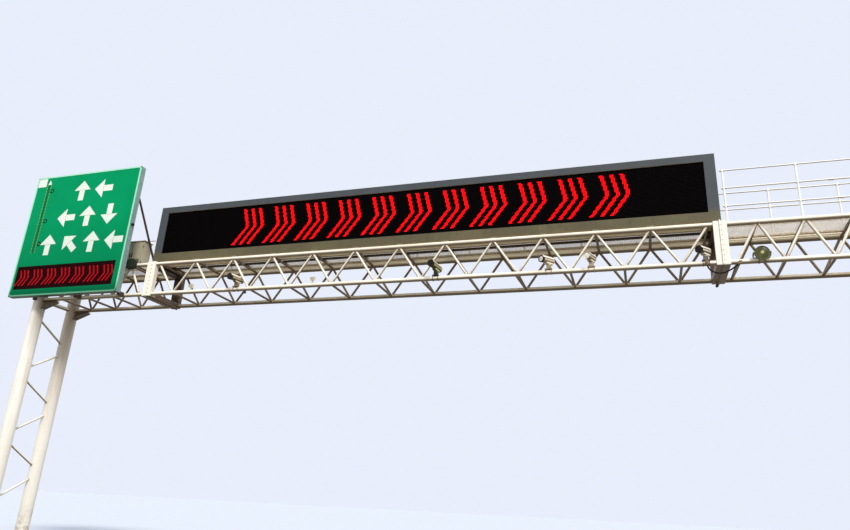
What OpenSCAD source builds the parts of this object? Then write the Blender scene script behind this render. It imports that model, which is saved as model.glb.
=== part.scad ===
// Overhead sign gantry for one carriageway of a main road, in millimetres.
// A welded box truss stands on two legs, each a pair of tube columns with zigzag bracing. It carries
// a long message board, a square direction sign, a walkway with rails, cameras and a lamp.
// X runs along the beam, Y away from the driver and Z up from the ground.
// The origin is under the left front column, at the underside of its foot.

/* [Overall] */
// Distance between the two legs, column axis to column axis
span = 22520; // [20500:10:26000]
// Height of the bottom chords' axes above the ground
beam_height = 6680; // [5500:10:8000]
// Truss depth, front chord axis to rear chord axis
truss_depth = 1227; // [1100:1:1500]
// Truss height, bottom chord axis to top chord axis
truss_height = 887; // [750:1:1200]

/* [Truss] */
// Diameter of the four chord tubes
chord_d = 114; // [89:1:140]
// Diameter of the zigzag bars on the front and rear faces
lacing_d = 60; // [42:1:76]
// Diameter of the struts that join the front face to the rear face
strut_d = 60; // [42:1:76]
// Number of panels in the middle segment
mid_panels = 12; // [11:1:13]
// Distance from the middle segment's last top node to its end
mid_node_edge = 95; // [80:1:150]
// Length of an end segment, from the column's axis to its joint frame
end_len = 3685; // [3300:5:4000]
// Number of panels in each end segment
end_panels = 4; // [3:1:5]
// Distance from an end segment's first bottom node to its joint frame
end_node_edge = 140; // [110:1:200]
// Distance from an end segment's last top node to the column's axis
end_node_column = 285; // [250:1:400]

/* [Joint frames] */
// Width along the beam of one joint frame
frame_w = 125; // [90:1:160]
// Depth of a joint frame's bars, seen along the beam
frame_bar = 134; // [124:1:180]
// How far a joint frame's outside stands out past the chords
frame_proud = 10; // [5:1:30]
// Thickness of the bolted flange plate on a joint frame
flange_t = 15; // [10:1:25]
// How far the flange plate stands out past its joint frame
flange_lip = 20; // [10:1:40]

/* [Legs] */
// Outside diameter of the columns
column_d = 350; // [300:1:400]
// Thickness of the cap plate on a column
cap_t = 16; // [10:1:25]
// How far a cap plate stands out past its column
cap_lip = 20; // [10:1:40]
// Diameter of the zigzag bars between the two columns of a leg
leg_bar_d = 60; // [48:1:89]
// Height of the leg bracing's top node above the ground
leg_node_top = 6300; // [5300:10:6400]
// Vertical distance from one bracing node to the next
leg_node_pitch = 890; // [700:10:950]
// Distance from a bracing node to a bar's axis, along the column's face
leg_node_gap = 150; // [60:1:200]
// Number of bracing bars in a leg
leg_bars = 6; // [3:1:6]
// Diameter of the tubes that join the two column heads
head_tube_d = 114; // [89:1:140]
// Length of the haunch under a bottom chord, from the column's axis
haunch_len = 640; // [400:1:900]
// Depth of the haunch at the column, below the bottom chord
haunch_drop = 245; // [150:1:350]
// Depth of the haunch at its tip
haunch_tip = 50; // [30:1:90]
// Width of the haunch's sloping flange
haunch_w = 180; // [120:1:240]
// Thickness of the haunch plates
haunch_t = 16; // [10:1:25]

/* [Feet] */
// Side of the square base plate
foot_side = 700; // [640:10:900]
// Thickness of the base plate
foot_t = 30; // [20:1:50]
// Distance between the anchor holes, both ways
anchor_spacing = 560; // [520:5:600]
// Diameter of an anchor hole
anchor_hole_d = 42; // [30:1:60]
// Number of stiffening ribs on a foot
rib_count = 8; // [8:8:8]
// Height of a rib
rib_h = 260; // [150:5:400]
// Thickness of a rib
rib_t = 14; // [10:1:25]
// Distance from the column's axis to a rib's outer end
rib_reach = 335; // [300:1:345]

/* [Walkway] */
// Leg length of the walkway's edge angles
angle_leg = 50; // [40:1:75]
// Thickness of the walkway's edge angles
angle_t = 5; // [4:1:8]
// Thickness of the expanded-metal deck
deck_t = 8; // [5:1:12]
// Front edge of the deck on the end segments, from the front chord's axis
deck_front = 80; // [70:1:150]
// Front edge of the deck behind the message board, from the front chord's axis
deck_front_mid = 575; // [500:1:650]
// Rear edge of the deck, measured back from the rear chord's axis
deck_rear_gap = 230; // [200:1:300]
// How far the end decks run past the columns' axes
deck_past = 150; // [50:1:300]
// Thickness of the cross bearers under the deck
bearer_t = 8; // [5:1:15]
// Thickness of the solid plates over a joint
plate_t = 6; // [4:1:6]
// How far the joint's plates run onto the middle segment
plate_run = 190; // [60:5:300]
// Front edge of the joint's plates, from the front chord's axis
plate_front = 80; // [70:1:150]
// Rear edge of the joint's plates, measured back from the rear chord's axis
plate_rear_gap = 67; // [60:1:150]
// Width of the cable duct beside the deck
duct_w = 60; // [40:1:80]
// Height of the cable duct beside the deck
duct_h = 45; // [30:1:60]
// Distance from the duct's middle to the rear chord's axis
duct_offset = 110; // [100:1:150]

/* [Railings] */
// Diameter of the railing posts
guard_post_d = 44; // [42:1:60]
// Diameter of the rails
rail_d = 34; // [25:1:38]
// Height of the top rail above the top chords' axes
rail_top = 1300; // [1000:10:1400]
// Vertical distance between rails
rail_pitch = 435; // [300:5:450]
// Number of rails
rail_count = 3; // [2:1:3]
// Distance between posts of the rear railing
rear_post_pitch = 1440; // [1200:10:1800]
// Distance from the left leg's axis to the rear railing's first post beside it
rear_first = 1250; // [400:10:1800]
// Distance between posts of the front railing
front_post_pitch = 1470; // [1200:10:1800]
// Distance from the front railing's first post to the joint frame
front_post_edge = 30; // [25:1:100]

/* [Message board] */
// How far the board runs past the middle segment at each end
board_past = 188; // [0:1:220]
// Height of the board
board_h = 1667; // [1200:1:2000]
// Depth of the board, front to back
board_depth = 420; // [300:1:450]
// Height of the board's underside above the top chords' axes
board_rise = 94; // [85:1:150]
// Width of the frame's top bar
bezel_top = 178; // [100:1:250]
// Width of the frame's bottom bar
bezel_bottom = 225; // [100:1:250]
// Width of the frame's side bars
bezel_side = 241; // [100:1:300]
// Thickness of the frame, front to back
bezel_t = 60; // [40:1:100]
// How far the screen lies behind the frame's front
screen_recess = 32; // [10:1:45]
// Thickness of the screen panel
screen_t = 25; // [10:1:28]
// Number of service doors in the board's back
door_count = 12; // [6:1:14]
// Gap between service doors
door_gap = 60; // [30:1:100]
// How far a service door stands out of the board's back
door_proud = 12; // [5:1:20]
// Number of louvres in each half of a service door
door_louvres = 6; // [3:1:8]
// Depth of a louvre's hood
louvre_proud = 10; // [5:1:20]
// Distance from one louvre to the next
louvre_pitch = 32; // [24:1:40]
// Fall of the board's roof from its frame to its rear edge
roof_fall = 40; // [10:1:80]
// How far the board's roof stands out behind
roof_lip = 22; // [10:1:40]
// Width of the sill beam under the board's rear edge
sill_w = 80; // [50:1:100]
// Length of a packer between the front chord and the board
packer_len = 160; // [100:5:250]
// Width of a packer
packer_w = 80; // [50:1:100]

/* [Direction sign] */
// Width of the sign
sign_w = 3880; // [3000:10:3900]
// Height of the sign
sign_h = 3870; // [3000:10:4500]
// Distance from the sign's left edge to the left leg's axis
sign_left = 710; // [300:10:1000]
// Height of the sign's lower edge above the bottom chords' axes
sign_rise = -24; // [-100:1:200]
// Distance from the front chord's axis to the sign's face
sign_out = 500; // [480:5:700]
// Depth of the sign's box
sign_depth = 180; // [120:1:200]
// Thickness of the sign's face sheet
sign_sheet_t = 6; // [3:1:10]
// Width of the raised edge round the sign's face
sign_edge_w = 45; // [30:1:80]
// How far the raised edge stands out of the face
sign_edge_t = 8; // [4:1:15]
// Depth of the pockets between the ribs of the sign's back
pocket_depth = 60; // [20:1:90]
// Number of rows of pockets in the sign's back
pocket_rows = 4; // [2:1:6]
// Width of the ribs between the pockets
sign_rib_w = 40; // [20:1:80]
// Distance from the sign's left side to its display strip
strip_left = 110; // [60:1:300]
// Distance from the display strip to the sign's right side
strip_right = 220; // [60:1:300]
// Distance from the sign's lower edge to its display strip
strip_low = 208; // [150:1:300]
// Height of the display strip
strip_h = 716; // [500:1:900]
// Width of a sign post
post_w = 100; // [80:1:140]
// Depth of a sign post
post_depth = 80; // [60:1:120]
// Distance from the sign's right side to its nearest post
post_inset = 100; // [60:10:500]
// Number of sign posts, the first of them on the left leg
post_count = 3; // [2:1:4]
// Diameter of the sloping stays behind the sign
stay_d = 60; // [40:1:76]
// Height of the stays' upper ends above the top chords' axes
stay_top = 2250; // [1200:10:2500]

/* [Equipment] */
// Width of the equipment cabinet
case_w = 830; // [500:10:900]
// Depth of the equipment cabinet
case_depth = 310; // [250:10:350]
// Height of the equipment cabinet
case_h = 900; // [600:10:1200]
// Gap between the cabinet's roof and the sign's last stay
case_gap = 25; // [10:1:200]
// Distance from the front chord's axis to the cabinet's front
case_front = 480; // [400:10:520]
// How far the cabinet's roof stands out past its sides
case_eave = 25; // [10:1:40]
// Height of the cabinet's feet
case_feet = 70; // [40:5:120]
// Diameter of a camera's round housing
camera_d = 165; // [140:1:180]
// Height of a camera's axis above the bottom chord's axis
camera_rise = 280; // [250:5:320]
// Thickness of a camera's sunshield
shield_t = 5; // [3:1:8]
// Gap between a camera's housing and its sunshield
shield_gap = 8; // [4:1:12]
// Diameter of the bolts bent round the chord that hold cameras and lamp
u_bolt_d = 12; // [8:1:16]
// Thickness of the clamp plate on the chord
clamp_t = 10; // [6:1:16]
// Diameter of the lamp
lamp_d = 300; // [250:5:340]
// Depth of the lamp
lamp_depth = 110; // [80:5:115]
// Distance from the front chord's axis to the lamp's face
lamp_out = 180; // [180:5:250]
// Height of the lamp's middle above the bottom chord's axis
lamp_rise = 120; // [100:5:200]
// Distance from the right joint to the lamp's middle, along the beam
lamp_x = 605; // [450:5:1200]
// Width of the terminal box beside the sign's last post
term_w = 260; // [180:10:300]
// Height of the terminal box
term_h = 280; // [200:10:320]
// Depth of the terminal box, without its lid
term_depth = 120; // [90:10:150]
// Side of a small detector's box
sensor_side = 110; // [80:5:140]
// Width and height of the boxes that the sagging lead comes out of
lead_box = 64; // [50:1:90]
// Diameter of the sagging lead under the right joint
lead_d = 34; // [20:1:40]

/* [Hidden] */

// Lane cameras: place in panels from the middle segment's first top node, turn to the left in
// degrees, upward tilt in degrees and length of the housing
CAMERAS = [
    [2.18, 12, 0, 500], [6.83, 14, 5, 480], [9.1, 40, 0, 380], [9.9, 22, 0, 380], [11.91, 40, 0, 360]
];
// Small detectors: place in panels from the middle segment's first top node
SENSORS = [0.98, 4.06];
// How far a camera's middle lies in front of the chord's axis, and its sunshield in front of it
camera_ahead = 55;
shield_past = 20;
// Gap between a deck and the plates over a joint
deck_seam = 5;

// Seating gap between pieces that rest on each other
seat = 0.3;
// Sides of the chord tubes and of the thinner bars
chord_sides = 12;
bar_sides = 8;

chord_r = chord_d / 2;
top_z = beam_height + truss_height;
chord_top_z = top_z + chord_r;
strut_top_z = top_z + strut_d / 2;

joint_w = 2 * (frame_w + flange_t);
mid_start = end_len + joint_w;
mid_len = span - 2 * mid_start;
mid_panel = (mid_len - 2 * mid_node_edge) / mid_panels;
end_panel = (end_len - end_node_edge - end_node_column) / (end_panels - 0.5);

mid_tops = [for (i = [0:mid_panels]) mid_start + mid_node_edge + i * mid_panel];
mid_bottoms = [for (i = [0:mid_panels - 1]) mid_tops[i] + mid_panel / 2];
end_bottoms = [for (i = [0:end_panels - 1]) end_len - end_node_edge - i * end_panel];
end_tops = [for (x = end_bottoms) x - end_panel / 2];

column_top_z = chord_top_z;
cap_top_z = column_top_z + cap_t;
deck_z = strut_top_z + angle_leg + 2 * seat;
deck_rear = truss_depth - deck_rear_gap;

board_x = mid_start - board_past;
board_len = mid_len + 2 * board_past;
board_z = top_z + board_rise;
screen_low = board_z + bezel_bottom;
screen_high = board_z + board_h - bezel_top;

sign_x = -sign_left;
sign_z = beam_height + sign_rise;
sign_back = sign_depth - sign_out;
post_last = sign_x + sign_w - post_inset - post_w / 2;
post_xs = [for (i = [0:post_count - 1]) i * post_last / (post_count - 1)];

// Diameter over the corners of a bar whose flats lie on diameter d
function over_corners(d, sides) = d / cos(180 / sides);

// A box given by any two of its opposite corners
module block(a, b) {
    low = [for (i = [0:2]) min(a[i], b[i])];
    high = [for (i = [0:2]) max(a[i], b[i])];
    translate(low) cube(high - low);
}

// A straight bar between two points, with its flats on diameter d
module bar(from, to, d, sides = bar_sides) {
    run = to - from;
    length = norm(run);
    translate(from)
        rotate([0, acos(run.z / length), atan2(run.y, run.x)])
            rotate(180 / sides)
                cylinder(d = over_corners(d, sides), h = length, $fn = sides);
}

// Copies of the left end, turned into the right end about the middle of the span
module at_right_end() {
    translate([span, 0, 0]) mirror([1, 0, 0]) children();
}

// The space that the two columns of the left leg take up
module left_columns_space() {
    for (y = [0, truss_depth])
        translate([0, y, -1]) cylinder(d = column_d + 2 * seat, h = cap_top_z + 2, $fn = 64);
}

// Feet and columns

module foot(y) {
    color("gainsboro") translate([0, y, 0]) difference() {
        union() {
            translate([-foot_side / 2, -foot_side / 2, 0]) cube([foot_side, foot_side, foot_t]);
            for (i = [0:rib_count - 1])
                rotate((i + 0.5) * 360 / rib_count) foot_rib();
        }
        translate([0, 0, foot_t]) cylinder(d = column_d + 2 * seat, h = rib_h + foot_t, $fn = 64);
        for (x = [-1, 1], side = [-1, 1])
            translate([x * anchor_spacing / 2, side * anchor_spacing / 2, -1])
                cylinder(d = anchor_hole_d, h = foot_t + 2, $fn = 32);
    }
}

module foot_rib() {
    toe = rib_h / 6;
    shoulder = column_d / 2 + 25;
    translate([0, rib_t / 2, foot_t]) rotate([90, 0, 0]) linear_extrude(rib_t)
        polygon([[column_d / 3, 0], [rib_reach, 0], [rib_reach, toe],
                 [shoulder, rib_h], [column_d / 3, rib_h]]);
}

module column(y) {
    color("whitesmoke") translate([0, y, 0]) {
        translate([0, 0, foot_t + seat])
            cylinder(d = column_d, h = column_top_z - foot_t - seat, $fn = 64);
        translate([0, 0, column_top_z]) cylinder(d = column_d + 2 * cap_lip, h = cap_t, $fn = 64);
    }
}

module left_front_foot() { foot(0); }
module left_rear_foot() { foot(truss_depth); }
module right_front_foot() { at_right_end() foot(0); }
module right_rear_foot() { at_right_end() foot(truss_depth); }
module left_front_column() { column(0); }
module left_rear_column() { column(truss_depth); }
module right_front_column() { at_right_end() column(0); }
module right_rear_column() { at_right_end() column(truss_depth); }

// Zigzag bars between the columns, and the two tubes that join their heads
module leg_bracing() {
    color("gainsboro") difference() {
        union() {
            for (i = [0:leg_bars - 1]) {
                upper = leg_node_top - i * leg_node_pitch - leg_node_gap;
                lower = leg_node_top - (i + 1) * leg_node_pitch + leg_node_gap;
                at_front = i % 2 == 0;
                bar([0, column_d / 4, at_front ? upper : lower],
                    [0, truss_depth - column_d / 4, at_front ? lower : upper], leg_bar_d);
            }
            for (z = [beam_height, top_z])
                bar([0, 0, z], [0, truss_depth, z], head_tube_d, chord_sides);
        }
        left_columns_space();
    }
}
module left_leg_bracing() { leg_bracing(); }
module right_leg_bracing() { at_right_end() leg_bracing(); }

// Haunches: a web and a sloping flange under each bottom chord, beside its column
module haunch(y) {
    root = column_d / 3;
    under = beam_height - chord_r - seat;
    slope = [[root, under - haunch_drop], [haunch_len, under - haunch_tip]];
    difference() {
        translate([0, y, 0]) rotate([90, 0, 0]) {
            translate([0, 0, -haunch_t / 2]) linear_extrude(haunch_t)
                polygon([[root, under], slope[0], slope[1], [haunch_len, under]]);
            translate([0, 0, -haunch_w / 2]) linear_extrude(haunch_w)
                polygon([slope[0], slope[1], slope[1] + [0, haunch_t], slope[0] + [0, haunch_t]]);
            translate([0, 0, -haunch_w / 2]) linear_extrude(haunch_w)
                polygon([[root, under], [haunch_len, under],
                         [haunch_len, under - haunch_t], [root, under - haunch_t]]);
        }
        left_columns_space();
    }
}

module haunches() {
    color("silver") {
        for (y = [0, truss_depth]) haunch(y);
        at_right_end() for (y = [0, truss_depth]) haunch(y);
    }
}

// Truss

// Two chords and the zigzag bars between them, in the plane at y
module lattice(y, start, end, tops, bottoms, bottom_first) {
    for (z = [beam_height, top_z])
        bar([start, y, z], [end, y, z], chord_d, chord_sides);
    pairs = min(len(tops), len(bottoms));
    for (i = [0:pairs - 1])
        bar([bottoms[i], y, beam_height], [tops[i], y, top_z], lacing_d);
    if (bottom_first)
        for (i = [0:pairs - 2])
            bar([tops[i], y, top_z], [bottoms[i + 1], y, beam_height], lacing_d);
    else
        for (i = [0:pairs - 1])
            bar([bottoms[i], y, beam_height], [tops[i + 1], y, top_z], lacing_d);
}

// Struts from the front face to the rear face, at the given places along one pair of chords
module struts(places, z) {
    for (x = places)
        bar([x, chord_r + seat, z], [x, truss_depth - chord_r - seat, z], strut_d);
}

module mid_lattice(y) {
    color("white") lattice(y, mid_start + seat, mid_start + mid_len - seat,
                           mid_tops, mid_bottoms, false);
}
module mid_front_lattice() { mid_lattice(0); }
module mid_rear_lattice() { mid_lattice(truss_depth); }
module mid_top_struts() { color("gainsboro") struts(mid_tops, top_z); }
module mid_bottom_struts() { color("gainsboro") struts(mid_bottoms, beam_height); }

module end_lattice(y) {
    color("white") difference() {
        lattice(y, 0, end_len - seat, end_tops, end_bottoms, true);
        left_columns_space();
    }
}
module end_struts() {
    color("gainsboro") {
        struts(end_tops, top_z);
        struts(end_bottoms, beam_height);
    }
}
module left_front_lattice() { end_lattice(0); }
module left_rear_lattice() { end_lattice(truss_depth); }
module left_struts() { end_struts(); }
module right_front_lattice() { at_right_end() end_lattice(0); }
module right_rear_lattice() { at_right_end() end_lattice(truss_depth); }
module right_struts() { at_right_end() end_struts(); }

// A rectangle round the four chords from one X to another, grown outwards and cut away inwards
module ring(from, to, grow, bar_depth) {
    out = chord_r + grow;
    y_high = truss_depth + out;
    z_low = beam_height - out;
    z_high = top_z + out;
    way = sign(to - from);
    difference() {
        block([from, -out, z_low], [to, y_high, z_high]);
        block([from - way, bar_depth - out, z_low + bar_depth],
              [to + way, y_high - bar_depth, z_high - bar_depth]);
    }
}

// One joint frame: a box ring welded to the chords' ends, with a flange plate on its far face
module joint_frame(chord_side, mate_side) {
    plate_side = mate_side - sign(mate_side - chord_side) * flange_t;
    color("ivory") {
        ring(chord_side, plate_side, frame_proud, frame_bar);
        ring(plate_side, mate_side, frame_proud + flange_lip, frame_bar + 2 * flange_lip);
    }
}
module outer_frame() { joint_frame(end_len, mid_start - joint_w / 2 - seat / 2); }
module inner_frame() { joint_frame(mid_start, mid_start - joint_w / 2 + seat / 2); }
module left_outer_frame() { outer_frame(); }
module left_inner_frame() { inner_frame(); }
module right_inner_frame() { at_right_end() inner_frame(); }
module right_outer_frame() { at_right_end() outer_frame(); }

// Walkway

// An L-shaped edge angle along X, with its upright leg at y and its flat leg towards "inward"
module edge_angle(start, end, y, inward) {
    low = strut_top_z + seat;
    block([start, y, low], [end, y + inward * angle_t, low + angle_leg]);
    block([start, y, low], [end, y + inward * angle_leg, low + angle_t]);
}

// Two edge angles along X, and the cross bearers between them over the struts
module walkway_edges(start, end, front, struts_at) {
    edge_angle(start, end, front, 1);
    edge_angle(start, end, deck_rear, -1);
    for (x = struts_at)
        if (x - bearer_t > start && x + bearer_t < end)
            block([x - bearer_t / 2, front, strut_top_z + seat],
                  [x + bearer_t / 2, deck_rear, strut_top_z + seat + angle_leg]);
}

module end_angles() {
    walkway_edges(column_d / 2 + cap_lip + seat, end_len - seat, deck_front, end_tops);
}

module walkway_angles() {
    color("dimgray") {
        end_angles();
        at_right_end() end_angles();
        walkway_edges(mid_start + seat, mid_start + mid_len - seat, deck_front_mid, mid_tops);
    }
}

module end_deck() {
    color("rosybrown") block([-deck_past, deck_front, deck_z],
                             [end_len - flange_lip, deck_rear, deck_z + deck_t]);
}
module left_deck() { end_deck(); }
module right_deck() { at_right_end() end_deck(); }
module mid_deck() {
    start = mid_start + plate_run + deck_seam;
    color("rosybrown") block([start, deck_front_mid, deck_z],
                             [span - start, deck_rear, deck_z + deck_t]);
}

// Solid plates over one joint, on the flanges, with a slot between them for the board's sill
module plates_over_joint() {
    low = chord_top_z + frame_proud + flange_lip + seat;
    start = end_len - flange_lip + deck_seam;
    slot = [board_depth - sill_w - deck_seam, board_depth + deck_seam];
    for (strip = [[plate_front, slot[0]], [slot[1], truss_depth - plate_rear_gap]])
        block([start, strip[0], low], [mid_start + plate_run, strip[1], low + plate_t]);
}
module joint_plates() {
    color("dimgray") {
        plates_over_joint();
        at_right_end() plates_over_joint();
    }
}

module duct(start, end) {
    y = truss_depth - duct_offset;
    block([start, y - duct_w / 2, strut_top_z + seat],
          [end, y + duct_w / 2, strut_top_z + seat + duct_h]);
}
module end_duct() {
    duct(column_d / 2 + cap_lip + seat, end_len - seat);
}
module cable_ducts() {
    color("linen") {
        end_duct();
        at_right_end() end_duct();
        duct(mid_start + seat, mid_start + mid_len - seat);
    }
}

// Railings

// A railing post, which ends just above the top rail
module guard_post(x, y, base_z) {
    bar([x, y, base_z], [x, y, top_z + rail_top + rail_d], guard_post_d);
}

// Posts at the given places and rails from end to end, in the plane at y
module railing(y, posts, start, end, base_z) {
    for (x = posts)
        guard_post(x, y, base_z);
    for (i = [0:rail_count - 1]) {
        z = top_z + rail_top - i * rail_pitch;
        bar([start, y, z], [end, y, z], rail_d);
    }
}

rear_posts = [for (x = [rear_first:rear_post_pitch:span - column_d]) x];
module rear_railing() {
    color("white") {
        railing(truss_depth, rear_posts, 0, span, chord_top_z + seat);
        for (x = [0, span])
            guard_post(x, truss_depth, cap_top_z + seat);
    }
}

front_first = span - end_len + front_post_edge;
front_posts = [for (x = [front_first:front_post_pitch:span - column_d]) x];
module front_railing() {
    color("white") {
        railing(0, front_posts, front_first, span, chord_top_z + seat);
        guard_post(span, 0, cap_top_z + seat);
    }
}

module end_rails() {
    color("white") for (x = [0, span], i = [0:rail_count - 1]) {
        z = top_z + rail_top - i * rail_pitch;
        reach = guard_post_d / 2 + seat;
        bar([x, x < span / 2 ? -reach : reach, z], [x, truss_depth - reach, z], rail_d);
    }
}

// Message board

// The housing's profile across the beam: upright front, and a roof that falls to a lip at the back
module housing_profile() {
    front = bezel_t + seat;
    back = board_depth - door_proud;
    top = board_h - roof_fall;
    polygon([[front, 0], [back, 0], [back, top - roof_lip], [back + roof_lip, top - roof_lip],
             [back + roof_lip, top], [front, board_h]]);
}

// Hooded louvres on a service door, one above another, from x to x + w at height z
module louvres(x, w, z) {
    for (i = [0:door_louvres - 1])
        translate([x, board_depth, z + i * louvre_pitch]) rotate([90, 0, 90]) linear_extrude(w)
            polygon([[-1, 0], [louvre_proud, 0], [louvre_proud, 3], [-1, louvre_pitch * 0.6]]);
}

// A service door: a raised leaf with louvres low and high, and a turned handle at its side
module service_door(x, w) {
    inset = w / 6;
    rows = door_louvres * louvre_pitch;
    block([x, board_depth - door_proud - 1, screen_low], [x + w, board_depth, screen_high - roof_fall]);
    louvres(x + inset, w - 2 * inset, screen_low + louvre_pitch);
    louvres(x + inset, w - 2 * inset, screen_high - roof_fall - rows - louvre_pitch);
    translate([x + inset / 2, board_depth - 1, (screen_low + screen_high) / 2]) rotate([-90, 0, 0])
        cylinder(d = inset / 3, h = louvre_proud * 2, $fn = 24);
}

module board_housing() {
    door_w = (board_len - 2 * bezel_side - (door_count - 1) * door_gap) / door_count;
    color("slategray") {
        translate([board_x, 0, board_z]) rotate([90, 0, 90]) linear_extrude(board_len) housing_profile();
        for (i = [0:door_count - 1])
            service_door(board_x + bezel_side + i * (door_w + door_gap), door_w);
    }
}

module board_frame() {
    color("darkgray") difference() {
        block([board_x, 0, board_z], [board_x + board_len, bezel_t, board_z + board_h]);
        block([board_x + bezel_side, -1, screen_low],
              [board_x + board_len - bezel_side, bezel_t + 1, screen_high]);
    }
}

module board_screen() {
    color("black") block([board_x + bezel_side + seat, screen_recess, screen_low + seat],
        [board_x + board_len - bezel_side - seat, screen_recess + screen_t, screen_high - seat]);
}

module board_sills() {
    color("dimgray") {
        block([mid_start + seat, board_depth - sill_w, strut_top_z + seat],
              [mid_start + mid_len - seat, board_depth, board_z - seat]);
        for (x = mid_tops)
            if (x > mid_tops[0] && x < mid_tops[mid_panels])
                block([x - packer_len / 2, 0, chord_top_z + seat],
                      [x + packer_len / 2, packer_w, board_z - seat]);
    }
}

// Direction sign

// The sign's box, with upright ribs behind the posts and at its sides, and pockets between them
module sign_box() {
    edges = concat([sign_x], [for (x = post_xs) x], [sign_x + sign_w]);
    row_h = (sign_h - sign_rib_w) / pocket_rows;
    color("darkseagreen") difference() {
        block([sign_x, -sign_out + sign_sheet_t + seat, sign_z],
              [sign_x + sign_w, sign_back, sign_z + sign_h]);
        for (i = [0:len(edges) - 2], row = [0:pocket_rows - 1]) {
            left = edges[i] + (i == 0 ? sign_rib_w : post_w / 2 + sign_rib_w / 2);
            right = edges[i + 1] - (i == len(edges) - 2 ? sign_rib_w : post_w / 2 + sign_rib_w / 2);
            if (right - left > sign_rib_w)
                block([left, sign_back - pocket_depth, sign_z + sign_rib_w + row * row_h],
                      [right, sign_back + 1, sign_z + (row + 1) * row_h]);
        }
    }
}

module sign_face() {
    low = [sign_x, sign_z];
    high = [sign_x + sign_w, sign_z + sign_h];
    color("seagreen") difference() {
        union() {
            block([low.x, -sign_out, low.y], [high.x, -sign_out + sign_sheet_t, high.y]);
            difference() {
                block([low.x, -sign_out - sign_edge_t, low.y], [high.x, -sign_out + 1, high.y]);
                block([low.x + sign_edge_w, -sign_out - sign_edge_t - 1, low.y + sign_edge_w],
                      [high.x - sign_edge_w, -sign_out + 2, high.y - sign_edge_w]);
            }
        }
        block([low.x + strip_left, -sign_out - sign_edge_t - 1, low.y + strip_low],
              [high.x - strip_right, -sign_out + sign_sheet_t + 1, low.y + strip_low + strip_h]);
    }
}

module sign_display() {
    low = sign_z + strip_low;
    color("black") block([sign_x + strip_left + seat, -sign_out + 1, low + seat],
                         [sign_x + sign_w - strip_right - seat, -sign_out + sign_sheet_t, low + strip_h - seat]);
}

// Upright posts on the sign's back, with a bracket to the front chords or to the column
module sign_posts() {
    back = sign_back + seat + post_depth;
    color("dimgray") for (x = post_xs) {
        block([x - post_w / 2, sign_back + seat, sign_z + post_w],
              [x + post_w / 2, back, sign_z + sign_h - post_w]);
        for (z = [beam_height, top_z]) difference() {
            block([x - post_w / 2, back - 1, z - chord_r],
                  [x + post_w / 2, x < column_d ? -column_d / 4 : -chord_r - seat, z + chord_r]);
            left_columns_space();
        }
    }
}

// Stays from every post but the first, down to the rear top chord
module sign_stays() {
    back = sign_back + seat + post_depth;
    color("dimgray") for (i = [1:post_count - 1]) {
        x = post_xs[i];
        difference() {
            bar([x, back - post_depth, top_z + stay_top], [x, truss_depth, top_z], stay_d);
            block([x - stay_d, back - 2 * post_depth, top_z],
                  [x + stay_d, back + seat, top_z + 2 * stay_top]);
            bar([x - stay_d, truss_depth, top_z], [x + stay_d, truss_depth, top_z],
                chord_d + 2 * seat, chord_sides);
        }
    }
}

// Equipment

// A sheet cabinet on feet, with an overhanging roof and two doors that stand out at the front
module equipment_cabinet() {
    right = post_last - stay_d / 2 - case_gap - case_eave;
    low = deck_z + deck_t + seat;
    body = [[right - case_w, case_front, low + case_feet], [right, case_front + case_depth, low + case_h]];
    roof_t = case_eave;
    foot = 2 * case_eave;
    door_w = (case_w - 3 * case_eave) / 2;
    color("tan") {
        block(body[0], body[1] - [0, 0, roof_t]);
        block([body[0].x - case_eave, body[0].y - case_eave, body[1].z - roof_t],
              [body[1].x + case_eave, body[1].y + case_eave, body[1].z]);
        for (x = [body[0].x, body[1].x - foot], y = [body[0].y, body[1].y - foot])
            block([x, y, low], [x + foot, y + foot, body[0].z + 1]);
        for (i = [0, 1]) {
            x = body[0].x + case_eave + i * (door_w + case_eave);
            block([x, body[0].y - door_proud, body[0].z + case_eave],
                  [x + door_w, body[0].y + 1, body[1].z - roof_t - case_eave]);
        }
    }
}

// A cast terminal box on the upper bracket of the sign's last post, with a lid and two cable glands
module terminal_box() {
    back = -chord_r - frame_proud - flange_lip - clamp_t;
    corner = term_w / 5;
    rim = term_w / 20;
    color("darkslategray")
        translate([post_last + post_w / 2 + seat, back, top_z - term_h / 2]) {
            rotate([90, 0, 0]) linear_extrude(term_depth)
                polygon([[0, 0], [term_w, 0], [term_w, term_h - corner], [term_w - corner, term_h],
                         [corner, term_h], [0, term_h - corner]]);
            rotate([90, 0, 0]) linear_extrude(term_depth + clamp_t)
                polygon([[rim, rim], [term_w - rim, rim], [term_w - rim, term_h - corner - rim / 2],
                         [term_w - corner - rim / 2, term_h - rim], [corner + rim / 2, term_h - rim],
                         [rim, term_h - corner - rim / 2]]);
            for (x = [term_w / 3, 2 * term_w / 3])
                translate([x, -term_depth / 2, -lead_d]) cylinder(d = lead_d, h = lead_d + 1, $fn = 32);
        }
}

// The axis radius of a bolt that is bent round a chord
u_bolt_r = over_corners(chord_d, chord_sides) / 2 + seat + u_bolt_d / 2;

// A bolt bent round the front bottom chord from below, with a nut on each leg
module u_bolt(x) {
    nut_z = chord_r + seat + clamp_t;
    translate([x, 0, beam_height]) {
        rotate([0, -90, 0]) rotate(90) rotate_extrude(angle = 180, $fn = 48)
            translate([u_bolt_r, 0]) circle(d = u_bolt_d, $fn = 16);
        for (side = [-1, 1]) translate([0, side * u_bolt_r, 0]) {
            cylinder(d = u_bolt_d, h = nut_z + 1.5 * u_bolt_d, $fn = 16);
            translate([0, 0, nut_z]) cylinder(d = 2 * u_bolt_d, h = 0.8 * u_bolt_d, $fn = 6);
        }
    }
}

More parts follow.
